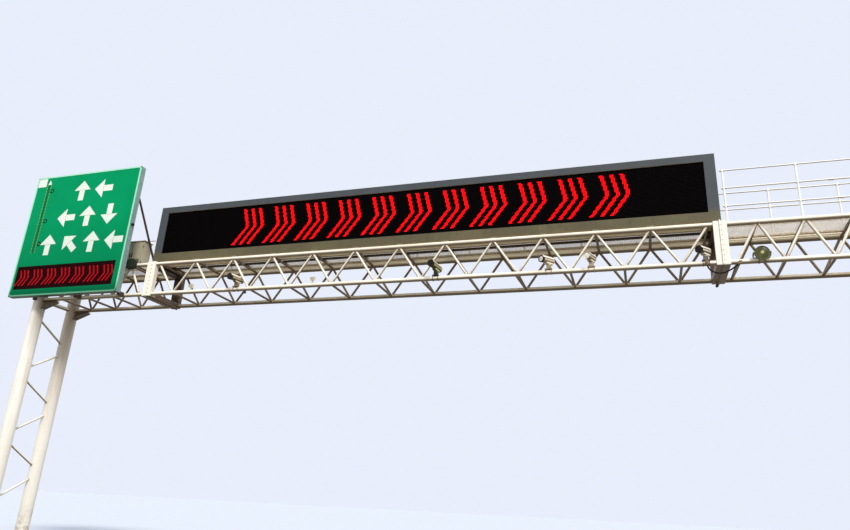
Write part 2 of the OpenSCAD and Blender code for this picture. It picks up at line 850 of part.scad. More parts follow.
// A plate of length w on top of the front bottom chord, held by two bent bolts
module chord_clamp(x, w) {
    low = beam_height + chord_r + seat;
    reach = u_bolt_r + 1.5 * u_bolt_d;
    block([x - w / 2, -reach, low], [x + w / 2, reach, low + clamp_t]);
    for (side = [-1, 1])
        u_bolt(x + side * (w / 2 - 1.5 * u_bolt_d));
}

// A camera's housing along -Y from its middle: domed rear cap, barrel, and a collar round the window
module camera_housing(length) {
    r = camera_d / 2;
    neck = r - 8;
    rotate([90, 0, 0]) translate([0, 0, -length / 2]) rotate_extrude($fn = 64)
        polygon([[0, 0], [neck * 0.6, 0], [neck * 0.9, 12], [neck, 30], [neck, length - 70],
                 [r, length - 60], [r, length], [r - 8, length], [r - 20, length - 10],
                 [0, length - 10]]);
}

// A camera's sunshield: the upper part of a tube over the housing, longer than it at the front
module sunshield(length) {
    inner = camera_d / 2 + shield_gap;
    outer = inner + shield_t;
    skirt = camera_d / 8;
    rotate([90, 0, 0]) translate([0, 0, shield_past - length / 2]) difference() {
        cylinder(r = outer, h = length, $fn = 64);
        translate([0, 0, -1]) cylinder(r = inner, h = length + 2, $fn = 64);
        block([-outer - 1, -outer - 1, -1], [outer + 1, skirt, length + 1]);
    }
    for (side = [-1, 1])
        block([-shield_gap, side * length / 4, camera_d / 2 - 12],
              [shield_gap, side * length / 4 + 2 * shield_gap, inner + 1]);
}

// A camera on a clamp on the front bottom chord. row holds its place in panels from the middle
// segment's first top node, its turn to the left, its upward tilt and its length
module lane_camera(row) {
    x = mid_tops[0] + row[0] * mid_panel;
    length = row[3];
    clamp_top = chord_r + seat + clamp_t;
    cradle_w = 0.6 * camera_d;
    color("ghostwhite") {
        chord_clamp(x, camera_d);
        block([x - cradle_w / 2, -cradle_w / 2, beam_height + clamp_top - 1],
              [x + cradle_w / 2, cradle_w / 2, beam_height + camera_rise - camera_d / 2 - 2 * clamp_t]);
        translate([x, 0, beam_height + camera_rise]) {
            rotate([0, 0, -row[1]]) rotate([-row[2], 0, 0]) {
                translate([0, -camera_ahead, 0]) camera_housing(length);
                translate([0, -camera_ahead, 0]) sunshield(length - 2 * shield_past);
                block([-cradle_w / 2, -cradle_w, -camera_d / 2 - clamp_t],
                      [cradle_w / 2, cradle_w, -camera_d / 4]);
            }
            translate([0, 0, -camera_d / 2 - 2 * clamp_t - 1])
                cylinder(d = 0.8 * cradle_w, h = 2 * clamp_t, $fn = 32);
        }
    }
}

module lane_camera_1() { lane_camera(CAMERAS[0]); }
module lane_camera_2() { lane_camera(CAMERAS[1]); }
module lane_camera_3() { lane_camera(CAMERAS[2]); }
module lane_camera_4() { lane_camera(CAMERAS[3]); }
module lane_camera_5() { lane_camera(CAMERAS[4]); }

// Small wave detectors on the front bottom chord: a box tipped forwards on a stem
module lane_sensors() {
    foot_z = beam_height + chord_r + seat;
    color("whitesmoke") for (place = SENSORS) {
        x = mid_tops[0] + place * mid_panel;
        block([x - sensor_side / 3, -sensor_side / 3, foot_z],
              [x + sensor_side / 3, sensor_side / 3, foot_z + 0.8 * clamp_t]);
        bar([x, 0, foot_z + 0.4 * clamp_t], [x, 0, foot_z + sensor_side], sensor_side / 3);
        translate([x, 0, foot_z + sensor_side]) rotate([20, 0, 0])
            block([-sensor_side / 2, -sensor_side / 2, -sensor_side / 3],
                  [sensor_side / 2, sensor_side / 3, sensor_side / 2]);
    }
}

// A round lamp in a yoke, on a clamp on the front bottom chord of the right end segment
module flash_lamp() {
    x = span - end_len + lamp_x;
    bolt_z = beam_height + lamp_rise;
    low = beam_height + chord_r + seat;
    r = lamp_d / 2;
    yoke = r + clamp_t;
    pivot_y = lamp_depth / 3 - lamp_out;
    color("olive") {
        chord_clamp(x, lamp_d / 2);
        block([x - yoke - 6, -chord_r / 2, low], [x + yoke + 6, chord_r / 2, low + clamp_t]);
        for (side = [-1, 1]) {
            block([x + side * yoke, pivot_y - 30, low], [x + side * (yoke + 6), chord_r / 2, bolt_z + 30]);
            translate([x, pivot_y, bolt_z]) rotate([0, 90 * side, 0])
                cylinder(d = 30, h = yoke + 2 * clamp_t, $fn = 24);
        }
        translate([x, -lamp_out, bolt_z]) rotate([-90, 0, 0]) rotate_extrude($fn = 96)
            polygon([[0, 8], [r - 20, 8], [r - 12, 0], [r, 0], [r, lamp_depth / 2],
                     [r - 15, 0.6 * lamp_depth], [r / 2, lamp_depth], [0, lamp_depth]]);
    }
}

// Boxes on the front bottom chord that the sagging lead comes out of, each with a gland in line with it
module lead_boxes() {
    last = len(lead_route) - 1;
    color("whitesmoke") for (end = [[0, -lead_way(0)], [last, lead_way(last)]]) {
        mouth = lead_route[end[0]] + seat * end[1];
        middle = mouth + (lead_d + lead_box / 2) * end[1];
        bar(mouth, middle, 1.4 * lead_d, 24);
        block([middle.x - lead_box / 2, -chord_r - seat, middle.z - lead_box / 2],
              [middle.x + lead_box / 2, 2 * lead_y + chord_r + seat, middle.z + lead_box / 2]);
    }
}

// The middle of the right joint, at the height of the bottom chords, in the plane of the lead
lead_y = -88;
lead_middle = [span - end_len - joint_w / 2, lead_y, beam_height];

// The lead's route from box to box, under the right joint
lead_route = [for (place = [
    [-330, -60], [-328, -84], [-321, -113], [-308, -143], [-288, -173], [-261, -200],
    [-227, -224], [-187, -243], [-143, -255], [-96, -260], [-48, -258], [0, -249],
    [47, -233], [92, -211], [135, -186], [176, -158], [214, -129], [248, -101], [270, -82]
]) lead_middle + [place.x, 0, place.y]];

// The route's direction at point i
function lead_way(i) = let (
        last = len(lead_route) - 1,
        way = lead_route[min(i + 1, last)] - lead_route[max(i - 1, 0)]
    ) way / norm(way);

// One ring of points round the route at point i
function lead_ring(i) = let (side = [0, 1, 0], up = cross(lead_way(i), side))
    [for (k = [0:bar_sides - 1]) lead_route[i]
        + lead_d / 2 * (cos(360 * k / bar_sides) * side + sin(360 * k / bar_sides) * up)];

module camera_lead() {
    rings = len(lead_route);
    n = bar_sides;
    color("black") polyhedron(
        points = [for (i = [0:rings - 1]) each lead_ring(i)],
        faces = concat(
            [[for (k = [0:n - 1]) k]],
            [for (i = [0:rings - 2], k = [0:n - 1]) let (next = (k + 1) % n)
                [i * n + k, (i + 1) * n + k, (i + 1) * n + next, i * n + next]],
            [[for (k = [n - 1:-1:0]) (rings - 1) * n + k]]));
}

left_front_foot();
left_rear_foot();
right_front_foot();
right_rear_foot();
left_front_column();
left_rear_column();
right_front_column();
right_rear_column();
left_leg_bracing();
right_leg_bracing();
haunches();
mid_front_lattice();
mid_rear_lattice();
mid_top_struts();
mid_bottom_struts();
left_front_lattice();
left_rear_lattice();
left_struts();
right_front_lattice();
right_rear_lattice();
right_struts();
left_outer_frame();
left_inner_frame();
right_inner_frame();
right_outer_frame();
walkway_angles();
left_deck();
mid_deck();
right_deck();
joint_plates();
cable_ducts();
rear_railing();
front_railing();
end_rails();
board_housing();
board_frame();
board_screen();
board_sills();
sign_box();
sign_face();
sign_display();
sign_posts();
sign_stays();
equipment_cabinet();
terminal_box();
lane_camera_1();
lane_camera_2();
lane_camera_3();
lane_camera_4();
lane_camera_5();
lane_sensors();
flash_lamp();
lead_boxes();
camera_lead();
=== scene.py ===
# %% [markdown]
# # Dressing an overhead sign gantry
# The construction comes packed: a box truss of painted tubes on two legs, a message board, a direction
# sign, a walkway and some cameras. It stands in one frame, in metres: X along the beam to the driver's
# right, Y away from the driver, Z up, with the origin under the left front foot.
# Nothing here moves or resizes it. The cells below give each part the finish and the small detail of the
# real one, and every new mesh is a surface worked out with numpy as a whole array.

import math

import bpy
import numpy as np
from mathutils import Matrix, Vector


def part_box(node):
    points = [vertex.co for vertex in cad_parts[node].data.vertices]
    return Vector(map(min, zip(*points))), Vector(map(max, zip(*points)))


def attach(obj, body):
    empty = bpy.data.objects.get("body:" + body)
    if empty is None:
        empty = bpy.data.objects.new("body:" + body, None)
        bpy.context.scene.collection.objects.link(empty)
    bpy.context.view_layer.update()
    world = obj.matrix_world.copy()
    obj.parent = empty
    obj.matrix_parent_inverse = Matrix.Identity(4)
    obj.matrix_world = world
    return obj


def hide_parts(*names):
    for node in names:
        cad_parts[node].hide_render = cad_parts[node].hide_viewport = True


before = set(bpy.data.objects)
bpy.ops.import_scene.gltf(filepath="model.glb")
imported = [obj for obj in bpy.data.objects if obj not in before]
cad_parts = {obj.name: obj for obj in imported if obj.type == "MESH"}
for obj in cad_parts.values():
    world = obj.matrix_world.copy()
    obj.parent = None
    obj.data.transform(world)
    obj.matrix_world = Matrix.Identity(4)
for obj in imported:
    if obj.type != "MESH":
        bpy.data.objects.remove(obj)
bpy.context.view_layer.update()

# %% [markdown]
# ## The camera
# A photo's camera can be guessed by eye or fitted. Here it was fitted to the nodes of the truss and the
# corners of the two signs, which gives a place, three turns and a lens. The view is from a driver's eye,
# low on the road and some 15 m in front of the beam. The turns build the camera's own axes as plain
# vectors: forward, then right and up turned about forward by the roll.

# %% Camera
CAMERA_PLACE = (16.8554, -14.7446, 1.4896)
CAMERA_YAW = math.radians(18.3625)
CAMERA_PITCH = math.radians(19.6764)
CAMERA_ROLL = math.radians(2.8709)
CAMERA_LENS = 28.40
SENSOR_WIDTH = 36.0


def camera_turn(yaw, pitch, roll):
    """The camera's axes as a matrix: right, up and back. Yaw turns left of +Y, pitch turns up, and roll
    turns about forward."""
    forward = Vector((-math.sin(yaw) * math.cos(pitch), math.cos(yaw) * math.cos(pitch), math.sin(pitch)))
    level = Vector((math.cos(yaw), math.sin(yaw), 0.0))
    upright = level.cross(forward)
    right = math.cos(roll) * level + math.sin(roll) * upright
    up = math.cos(roll) * upright - math.sin(roll) * level
    return Matrix((right, up, -forward)).transposed()


def make_camera():
    """Stands the fitted camera in the scene and makes it the one that renders."""
    data = bpy.data.cameras.new("driver_eye")
    data.lens = CAMERA_LENS
    data.sensor_width = SENSOR_WIDTH
    data.sensor_fit = "HORIZONTAL"
    data.clip_end = 500.0
    camera = bpy.data.objects.new("driver_eye", data)
    camera.matrix_world = camera_turn(CAMERA_YAW, CAMERA_PITCH, CAMERA_ROLL).to_4x4()
    camera.location = CAMERA_PLACE
    bpy.context.scene.collection.objects.link(camera)
    bpy.context.scene.camera = camera


make_camera()

# %% [markdown]
# ## Meshes from arrays
# A surface here is a pair: its points, and its faces as arrays of point numbers. Grids carry nearly all
# of them, because a tube, a dome or a bead is a function of two parameters. Row i is one ring of points
# and column j goes round it, so four neighbours make a face, and the order turns every face outwards.

# %% Grids, meshes and pieces
def unit(v):
    """A vector, or each row of an array of vectors, at length one."""
    v = np.asarray(v, float)
    return v / np.linalg.norm(v, axis=-1, keepdims=True)


def across(direction):
    """Two unit vectors square to a direction and to each other: first x second is the direction."""
    d = unit(direction)
    helper = np.array([0.0, 0.0, 1.0]) if abs(d[2]) < 0.9 else np.array([1.0, 0.0, 0.0])
    first = unit(np.cross(helper, d))
    return first, np.cross(d, first)


def grid_faces(rows, columns, closed=False):
    """Quads between neighbouring rows of rings. With closed, the last row joins the first as well."""
    i, j = np.meshgrid(np.arange(rows if closed else rows - 1), np.arange(columns), indexing="ij")
    here = i * columns + j
    beside = i * columns + (j + 1) % columns
    ahead = ((i + 1) % rows) * columns
    return np.stack([here, beside, ahead + (j + 1) % columns, ahead + j], -1).reshape(-1, 4)


def put_mesh(name, surfaces, fields=None, sharp=38.0):
    """One mesh from many surfaces, written as whole arrays. fields maps an attribute's name to its values,
    one per point. Edges that fold by more than the sharp angle stay crisp, and the rest shade smoothly."""
    starts = np.cumsum([0] + [len(points) for points, _ in surfaces])
    points = np.concatenate([points for points, _ in surfaces]).astype(np.float32)
    face_sets = [faces + start for (_, sets), start in zip(surfaces, starts)
                 for faces in sets if len(faces)]
    loops = np.concatenate([faces.ravel() for faces in face_sets]).astype(np.int32)
    sizes = np.concatenate([np.full(len(faces), faces.shape[1]) for faces in face_sets])
    mesh = bpy.data.meshes.new(name)
    mesh.vertices.add(len(points))
    mesh.vertices.foreach_set("co", points.ravel())
    mesh.loops.add(len(loops))
    mesh.loops.foreach_set("vertex_index", loops)
    mesh.polygons.add(len(sizes))
    mesh.polygons.foreach_set("loop_start", np.concatenate([[0], np.cumsum(sizes)[:-1]]).astype(np.int32))
    mesh.update(calc_edges=True)
    mesh.polygons.foreach_set("use_smooth", np.ones(len(sizes), bool))
    for field, values in (fields or {}).items():
        layer = mesh.attributes.new(field, "FLOAT", "POINT")
        layer.data.foreach_set("value", np.asarray(values, np.float32))
    mesh.set_sharp_from_angle(angle=math.radians(sharp))
    mesh.validate()
    print(f"{name}: {int((sizes - 2).sum())} triangles")
    return mesh


def add_piece(name, surfaces, material, replaces=(), fields=None, sharp=38.0):
    """A piece of the gantry: a mesh at the origin, with its material and what it stands for."""
    mesh = put_mesh(name, surfaces, fields, sharp)
    mesh.materials.append(material)
    piece = bpy.data.objects.new(name, mesh)
    bpy.context.scene.collection.objects.link(piece)
    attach(piece, "root")
    if replaces:
        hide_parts(*replaces)


# %% [markdown]
# Three kinds of surface do most of the work below. A turned one carries a profile of radii and heights
# round an axis. A box is eight points and six faces, and many boxes are made at once. A rectangular frame is
# a ring whose section is a rectangle. Copies put one surface at many places by adding arrays.

# %% Turned shapes, boxes, frames and copies
def points_at(x, y, z):
    """Rows of (x, y, z) from three coordinates, each an array or one number that serves for every row."""
    return np.column_stack(np.broadcast_arrays(x, y, z))


def turned(profile, sides, ring=False):
    """A profile of (radius, height) carried round the Z axis: x = r cos t, y = r sin t. Flat ends close it,
    or with ring the last point joins the first, so that it is a closed band round an open middle."""
    profile = np.asarray(profile, float)
    t = np.linspace(0, 2 * np.pi, sides, endpoint=False)
    x = profile[:, :1] * np.cos(t)
    y = profile[:, :1] * np.sin(t)
    z = np.repeat(profile[:, 1:], sides, axis=1)
    points = np.stack([x, y, z], -1).reshape(-1, 3)
    last = (len(profile) - 1) * sides
    ends = [] if ring else [np.arange(sides)[::-1][None], (last + np.arange(sides))[None]]
    return points, [grid_faces(len(profile), sides, closed=ring)] + ends


def copies(surface, places, axis=(0, 0, 1), turn=None):
    """The surface at each place, its Z axis laid along the axis, or turned by a matrix of its own."""
    points, sets = surface
    places = np.atleast_2d(np.asarray(places, float))
    if turn is None:
        first, second = across(axis)
        turn = np.column_stack([first, second, unit(axis)])
    every = (points @ np.asarray(turn).T)[None] + places[:, None]
    offsets = np.arange(len(places))[:, None, None] * len(points)
    return every.reshape(-1, 3), [(faces[None] + offsets).reshape(-1, faces.shape[1]) for faces in sets]


BOX_FACES = np.array([[0, 2, 3, 1], [4, 5, 7, 6], [0, 1, 5, 4], [2, 6, 7, 3], [0, 4, 6, 2], [1, 3, 7, 5]])


def boxes(lows, highs):
    """Many boxes at once from arrays of their lowest and highest corners."""
    lows = np.atleast_2d(np.asarray(lows, float))
    highs = np.atleast_2d(np.asarray(highs, float))
    picks = np.array([[(k >> 0) & 1, (k >> 1) & 1, (k >> 2) & 1] for k in range(8)], bool)
    points = np.where(picks[None], highs[:, None], lows[:, None])
    faces = BOX_FACES[None] + np.arange(len(lows))[:, None, None] * 8
    return points.reshape(-1, 3), [faces.reshape(-1, 4)]


def upright_frame(outer, inner, near, far):
    """A frame in the XZ plane: outer and inner are (x0, z0, x1, z1), and near and far are the places in Y
    of its two faces."""
    x_of = [0, 2, 2, 0]
    z_of = [1, 1, 3, 3]
    rows = [(outer, near), (inner, near), (inner, far), (outer, far)]
    points = [points_at(np.array(sides)[x_of], y, np.array(sides)[z_of]) for sides, y in rows]
    return np.concatenate(points), [grid_faces(4, 4, closed=True)[:, ::-1]]


# %% [markdown]
# ## The sizes that repeat
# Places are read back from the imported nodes, so the looks follow the construction. Only the sizes that a
# box can't tell, such as a tube's radius or how many panels it has, are written down again.

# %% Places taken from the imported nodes
CHORD_R = 0.057
LACING_R = 0.030
STRUT_R = 0.030
COLUMN_R = 0.175
CAP_T = 0.016
CAP_LIP = 0.020
MID_PANELS = 12
MID_EDGE = 0.095
END_PANELS = 4
END_EDGE = 0.140
END_COLUMN = 0.285

mid_low, mid_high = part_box("mid_front_lattice")
beam_z = mid_low.z + CHORD_R
top_z = mid_high.z - CHORD_R
rear_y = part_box("mid_rear_lattice")[0].y + CHORD_R
right_low, right_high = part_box("right_front_column")
span = (right_low.x + right_high.x) / 2
end_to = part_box("left_front_lattice")[1].x
left_joint = (end_to + mid_low.x) / 2
joints = (left_joint, span - left_joint)

mid_tops = np.linspace(mid_low.x + MID_EDGE, mid_high.x - MID_EDGE, MID_PANELS + 1)
mid_bottoms = (mid_tops[:-1] + mid_tops[1:]) / 2
end_panel = (end_to - END_EDGE - END_COLUMN) / (END_PANELS - 0.5)
end_bottoms = end_to - END_EDGE - end_panel * np.arange(END_PANELS)
end_tops = end_bottoms - end_panel / 2
print(f"span {span:.3f} m, chords at Z {beam_z:.3f} and {top_z:.3f} m, rear plane at Y {rear_y:.3f} m")

# %% [markdown]
# ## Finishes
# Each material starts from the real coating: what it is, how it was put on, and what years over a road
# did to it. Colours are written as the sRGB values that a paint chart gives, and one function turns them
# into the linear values that Blender mixes. One function adds a node with its settings and its links. The
# ones after it are recipes that every weathered coat shares: where blotches lie, and how coats of dirt
# and rust are laid over a ground colour one after another.

# %% Colours and nodes
def linear(code):
    """An sRGB hex colour as linear RGBA: a share c becomes c/12.92 if small, else ((c+0.055)/1.055)^2.4."""
    shares = np.array([int(code[i:i + 2], 16) for i in (1, 3, 5)]) / 255.0
    values = np.where(shares <= 0.04045, shares / 12.92, ((shares + 0.055) / 1.055) ** 2.4)
    return (*values, 1.0)


def add_node(tree, kind, inputs=None, **settings):
    """Adds a node. settings are its own choices, and inputs are values or the outputs of other nodes."""
    node = tree.nodes.new(kind)
    for key, value in settings.items():
        setattr(node, key, value)
    for key, value in (inputs or {}).items():
        socket = node.inputs[key]
        if isinstance(value, bpy.types.NodeSocket):
            tree.links.new(value, socket)
        else:
            socket.default_value = value
    return node


def new_finish(name, color, roughness, metallic=0.0, specular=0.5):
    """A material with its shader set to plain values. Returns the material, its tree and its shader."""
    finish = bpy.data.materials.new(name)
    finish.use_nodes = True
    tree = finish.node_tree
    shader = tree.nodes["Principled BSDF"]
    shader.inputs["Base Color"].default_value = linear(color)
    shader.inputs["Roughness"].default_value = roughness
    shader.inputs["Metallic"].default_value = metallic
    shader.inputs["Specular IOR Level"].default_value = specular
    return finish, tree, shader


def blotches(tree, size, low=0.4, high=0.65, stretch=(1.0, 1.0, 1.0), detail=3.0):
    """Where dirt or chalk lies: noise with blotches of about the given size in metres, made a mask from
    0 at the low value to 1 at the high one."""
    place = add_node(tree, "ShaderNodeTexCoord").outputs["Object"]
    turned_place = add_node(tree, "ShaderNodeMapping", {"Vector": place, "Scale": stretch})
    noise = add_node(tree, "ShaderNodeTexNoise",
                     {"Vector": turned_place.outputs["Vector"], "Scale": 1.0 / size, "Detail": detail})
    return add_node(tree, "ShaderNodeMapRange", {"Value": noise.outputs["Fac"], "From Min": low,
                                                 "From Max": high}).outputs["Result"]


def coats(tree, shader, ground, layers):
    """Lays coats over the ground colour and links the result. A layer is (masks, share, colour): the
    product of the masks and the share says how much of the coat covers what lies below."""
    color = linear(ground)
    for masks, share, coat in layers:
        cover = share
        for mask in masks:
            cover = add_node(tree, "ShaderNodeMath", {0: mask, 1: cover}, operation="MULTIPLY").outputs[0]
        mix = add_node(tree, "ShaderNodeMix", {"Factor": cover, "A": color, "B": linear(coat)},
                       data_type="RGBA")
        color = mix.outputs["Result"]
    tree.links.new(color, shader.inputs["Base Color"])


def orange_peel(tree, shader, size=0.012, strength=0.1):
    """The fine ripple of sprayed paint, as a bump of blotches a few millimetres across."""
    ripple = blotches(tree, size, 0.3, 0.7, detail=2.0)
    bump = add_node(tree, "ShaderNodeBump", {"Height": ripple, "Strength": strength, "Distance": 0.002})
    tree.links.new(bump.outputs["Normal"], shader.inputs["Normal"])


def facing(tree, axis, none, full):
    """How far a surface faces along an axis: 0 where that part of its normal is none, 1 where it is full."""
    normal = add_node(tree, "ShaderNodeNewGeometry").outputs["Normal"]
    part = add_node(tree, "ShaderNodeSeparateXYZ", {"Vector": normal}).outputs[axis]
    return add_node(tree, "ShaderNodeMapRange", {"Value": part, "From Min": none,
                                                 "From Max": full}).outputs["Result"]


def beyond(tree, axis, none, full):
    """How far along an axis a point lies, in metres: 0 up to none, and 1 from full on."""
    place = add_node(tree, "ShaderNodeTexCoord").outputs["Object"]
    part = add_node(tree, "ShaderNodeSeparateXYZ", {"Vector": place}).outputs[axis]
    return add_node(tree, "ShaderNodeMapRange", {"Value": part, "From Min": none,
                                                 "From Max": full}).outputs["Result"]


# %% [markdown]
# ### White alkyd on steel
# The truss is blasted steel with a sprayed alkyd coat. The top and front of every tube keep the white
# ground, soot lies in blotches, and a little rust bleeds out at the welds. What faces down is darker, a
# painted shade with some road soot in it, and it follows the surface's own normal. The rust follows a field
# written on the mesh that is 1 at a weld and fades along the bar. The rear plane, the struts and the
# haunches under the chords take copies of the same enamel in painted shade: the rear chords are duller than
# the front ones, the thin rear bars and the struts are brown, and the haunches are the darkest.

# %% White truss paint
WELD_RUST = "#7a4a2a"
PAINTED_UNDERSIDE_SHADE = "#45372a"


def white_truss_paint(name, ground, chalk, patches, soot_and_shade, below=(0.0, -0.55)):
    """Alkyd enamel: warm white, slightly chalky, with soot blotches, painted shade underneath and rust at
    the welds.
    below says how far down a surface faces where the painted shade starts and where it is thickest."""
    finish, tree, shader = new_finish(name, ground, 0.42)
    weld = add_node(tree, "ShaderNodeAttribute", attribute_name="weld").outputs["Fac"]
    coats(tree, shader, ground, [
        ([blotches(tree, 0.35, 0.45, 0.75, stretch=(0.4, 1.0, 1.0))], 1.0, chalk),
        ([blotches(tree, 0.9, 0.45, 0.7)], patches, soot_and_shade),
        # Painted shade: what faces down takes the soot tone, the more the further down it faces.
        ([facing(tree, "Z", *below)], 0.9, soot_and_shade),
        ([weld, blotches(tree, 0.06, 0.42, 0.62)], 0.8, WELD_RUST),
    ])
    orange_peel(tree, shader)
    return finish


TRUSS_PAINT = white_truss_paint("white_alkyd_enamel", "#fff9ea", "#f3ead2", 0.15, "#544429")
RAIL_PAINT = white_truss_paint("white_alkyd_enamel_on_pipe", "#fbfaf6", "#eef0ee", 0.04, "#a39c8b")
# The same enamel in painted shade, darker step by step: the rear chords, the rear bars and struts, the
# haunches.
REAR_PAINTED_SHADE = white_truss_paint("white_alkyd_enamel_in_painted_shade", "#e9dec6", "#cdbb98", 0.15, "#3a2b1b",
                               below=(0.05, -0.4))
LACING_PAINTED_SHADE = white_truss_paint("white_alkyd_enamel_in_deep_painted_shade", "#9a8668", "#75614a", 0.45, "#35281a")
HAUNCH_PAINTED_SHADE = white_truss_paint("white_alkyd_enamel_in_darkest_painted_shade", "#77624b", "#5a4833", 0.5, "#2c2117")

# %% [markdown]
# The joint frames are box rings that stand across the wind. Their broad front stays white like the tubes.
# The
# rest is painted shade: a cream half-shade on the flank facing +X, and a brown shade with darker blotches on
# the flank facing -X, underneath, along the bottom edge and on all that stands behind.

# %% Joint frame paint
def joint_frame_paint():
    """The truss enamel with painted shade: cream on the flank facing +X, and brown on the one facing -X,
    below and behind. Behind the front plate the painted shade is nearly black up near the top chord."""
    finish, tree, shader = new_finish("white_alkyd_enamel_with_painted_shade", "#faf7ed", 0.45)
    # Masks for painted shade: the flank facing -X, what stands behind the front plate, and the rear.
    shaded_flank = facing(tree, "X", -0.5, -0.9)
    shade_behind_plate = beyond(tree, "Y", 0.07, 0.16)
    rear = beyond(tree, "Y", 0.4, 0.9)
    coats(tree, shader, "#faf7ed", [
        ([blotches(tree, 0.3, 0.45, 0.75)], 0.25, "#ece2c8"),
        ([facing(tree, "X", 0.5, 0.9)], 0.3, "#d8c8a4"),
        ([shaded_flank], 1.0, "#86603c"),
        ([shaded_flank, blotches(tree, 0.12, 0.45, 0.6)], 0.7, "#4d3120"),
        ([facing(tree, "Z", -0.5, -0.9)], 1.0, "#46331f"),
        ([shade_behind_plate, facing(tree, "X", 0.0, 0.5)], 1.0, "#5f4630"),
        ([rear], 1.0, "#544130"),
        ([rear, blotches(tree, 0.25, 0.45, 0.65)], 0.6, "#7c6146"),
        ([shade_behind_plate, beyond(tree, "Z", top_z - 0.35, top_z - 0.05)], 1.0, "#33261a"),
        ([beyond(tree, "Z", beam_z - 0.04, beam_z - 0.08)], 1.0, "#4b3820"),
    ])
    orange_peel(tree, shader)
    return finish


JOINT_PAINT = joint_frame_paint()

# %% [markdown]
# The columns are wide enough for their coat to be seen as a surface. Rain has drawn fine streaks down it,
# the road splashes the foot, and the lower part is a touch greyer. A painted shadow darkens the upper flank
# facing +X and the rear column's upper part, and a painted shade what faces down.

# %% Column paint
def white_column_paint():
    """The same enamel on rolled tube, rain-streaked from top to bottom and splashed by the road below, with
    a painted shadow high on the flank facing +X and on the rear column's upper part, and painted shade
    underneath.
    """
    finish, tree, shader = new_finish("white_enamel_on_rolled_tube", "#f9f6ef", 0.45)
    coats(tree, shader, "#f9f6ef", [
        ([blotches(tree, 0.05, 0.5, 0.72, stretch=(1.0, 1.0, 0.04))], 0.4, "#c4b8a4"),
        ([blotches(tree, 0.5, 0.5, 0.8)], 0.3, "#dccfbf"),
        ([beyond(tree, "Z", 3.6, 2.4)], 0.8, "#ebe8df"),
        # Painted shadow high on the flank facing +X.
        ([beyond(tree, "Z", 5.0, 6.5), facing(tree, "X", 0.0, 0.8)], 0.75, "#766a55"),
        ([beyond(tree, "Z", 1.1, 0.1), blotches(tree, 0.12, 0.35, 0.6)], 0.7, "#8d8069"),
        # Painted shadow on the rear column's upper part, and painted shade on what faces down.
        ([beyond(tree, "Y", 0.5, 0.9), beyond(tree, "Z", 2.8, 4.8)], 0.6, "#a39483"),
        ([facing(tree, "Z", -0.3, -0.8)], 0.8, PAINTED_UNDERSIDE_SHADE),
    ])
    orange_peel(tree, shader, 0.02)
    return finish


COLUMN_PAINT = white_column_paint()

# %% [markdown]
# ### Galvanised steel
# Decks, ducts and bolts are hot-dip galvanised. Zinc freezes into spangles about a finger's width
# across, each with its own grey and its own gloss, and weathers to a dull film. Cells of a Voronoi
# pattern carry both. On the decks and the ducts no metal shows: their pale cream ground is a painted light,
# under blotches of dust and rust.

# %% Galvanised steel
SPANGLE = 0.014


def galvanised(name, light, dark, film, metallic, cover):
    """Hot-dip zinc: a Voronoi cell per spangle varies the grey and the roughness, under a dull film."""
    finish, tree, shader = new_finish(name, light, 0.5, metallic=metallic, specular=0.3)
    place = add_node(tree, "ShaderNodeTexCoord").outputs["Object"]
    cells = add_node(tree, "ShaderNodeTexVoronoi", {"Vector": place, "Scale": 1.0 / SPANGLE})
    shade = add_node(tree, "ShaderNodeSeparateColor", {"Color": cells.outputs["Color"]}).outputs["Red"]
    coats(tree, shader, light, [([shade], 1.0, dark), ([blotches(tree, 0.25)], cover, film),
                                ([blotches(tree, 0.05, 0.5, 0.7)], cover, film)])
    rough = add_node(tree, "ShaderNodeMapRange", {"Value": shade, "To Min": 0.4, "To Max": 0.62})
    tree.links.new(rough.outputs["Result"], shader.inputs["Roughness"])
    return finish


ZINC = galvanised("hot_dip_galvanised_steel", "#b9bcba", "#989d9d", "#85806f", 0.6, 0.5)
# The decks' and ducts' pale cream is a painted light that makes them look sunlit.
DECK_ZINC_PAINTED_LIGHT = galvanised("rust_dusted_expanded_metal_in_painted_light", "#fbf1dd", "#e3d2b4", "#a68a64", 0.0, 0.25)
DUCT_ZINC_PAINTED_LIGHT = galvanised("dusty_zinc_ducts_in_painted_light", "#f7eedb", "#e2d3b5", "#a68d68", 0.0, 0.15)

# %% [markdown]
# ### Coated sheet and shells
# The board's housing is folded sheet with a baked powder coat, which runs dull and streaky outdoors. The
# cabinet has the same coat in another colour. Cast and moulded shells, the painted angles and sills and the
# sign's bare sheet weather in the same way, so one recipe with other tones serves them all. What faces down
# takes the below tone, a painted shade, and on the board a pale tan that is a painted light from the road.

# %% Powder coat
DUST_FULL_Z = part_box("board_screen")[0].z - 0.03
DUST_NONE_Z = DUST_FULL_Z + 0.13


def powder_coat(name, clean, dull, roughness=0.5, size=0.3, streaks=0.2, below="#332a1e", more=None):
    """Baked powder coat: fine orange peel, faint rain streaks that run down, dull patches, and the below
    tone on what faces down, a painted shade, or a painted light where that tone is pale. more(tree) gives
    layers that only this coat has."""
    finish, tree, shader = new_finish(name, clean, roughness, specular=0.3)
    coats(tree, shader, clean, [
        ([blotches(tree, size, 0.35, 0.7)], 0.4, dull),
        *(more(tree) if more else []),
        ([blotches(tree, 0.06, 0.45, 0.75, stretch=(1.0, 1.0, 0.07))], streaks, dull),
        # Painted shade on what faces down, or painted light where the below tone is pale.
        ([facing(tree, "Z", -0.1, -0.7)], 0.85, below),
    ])
    orange_peel(tree, shader, 0.01, 0.08)
    return finish


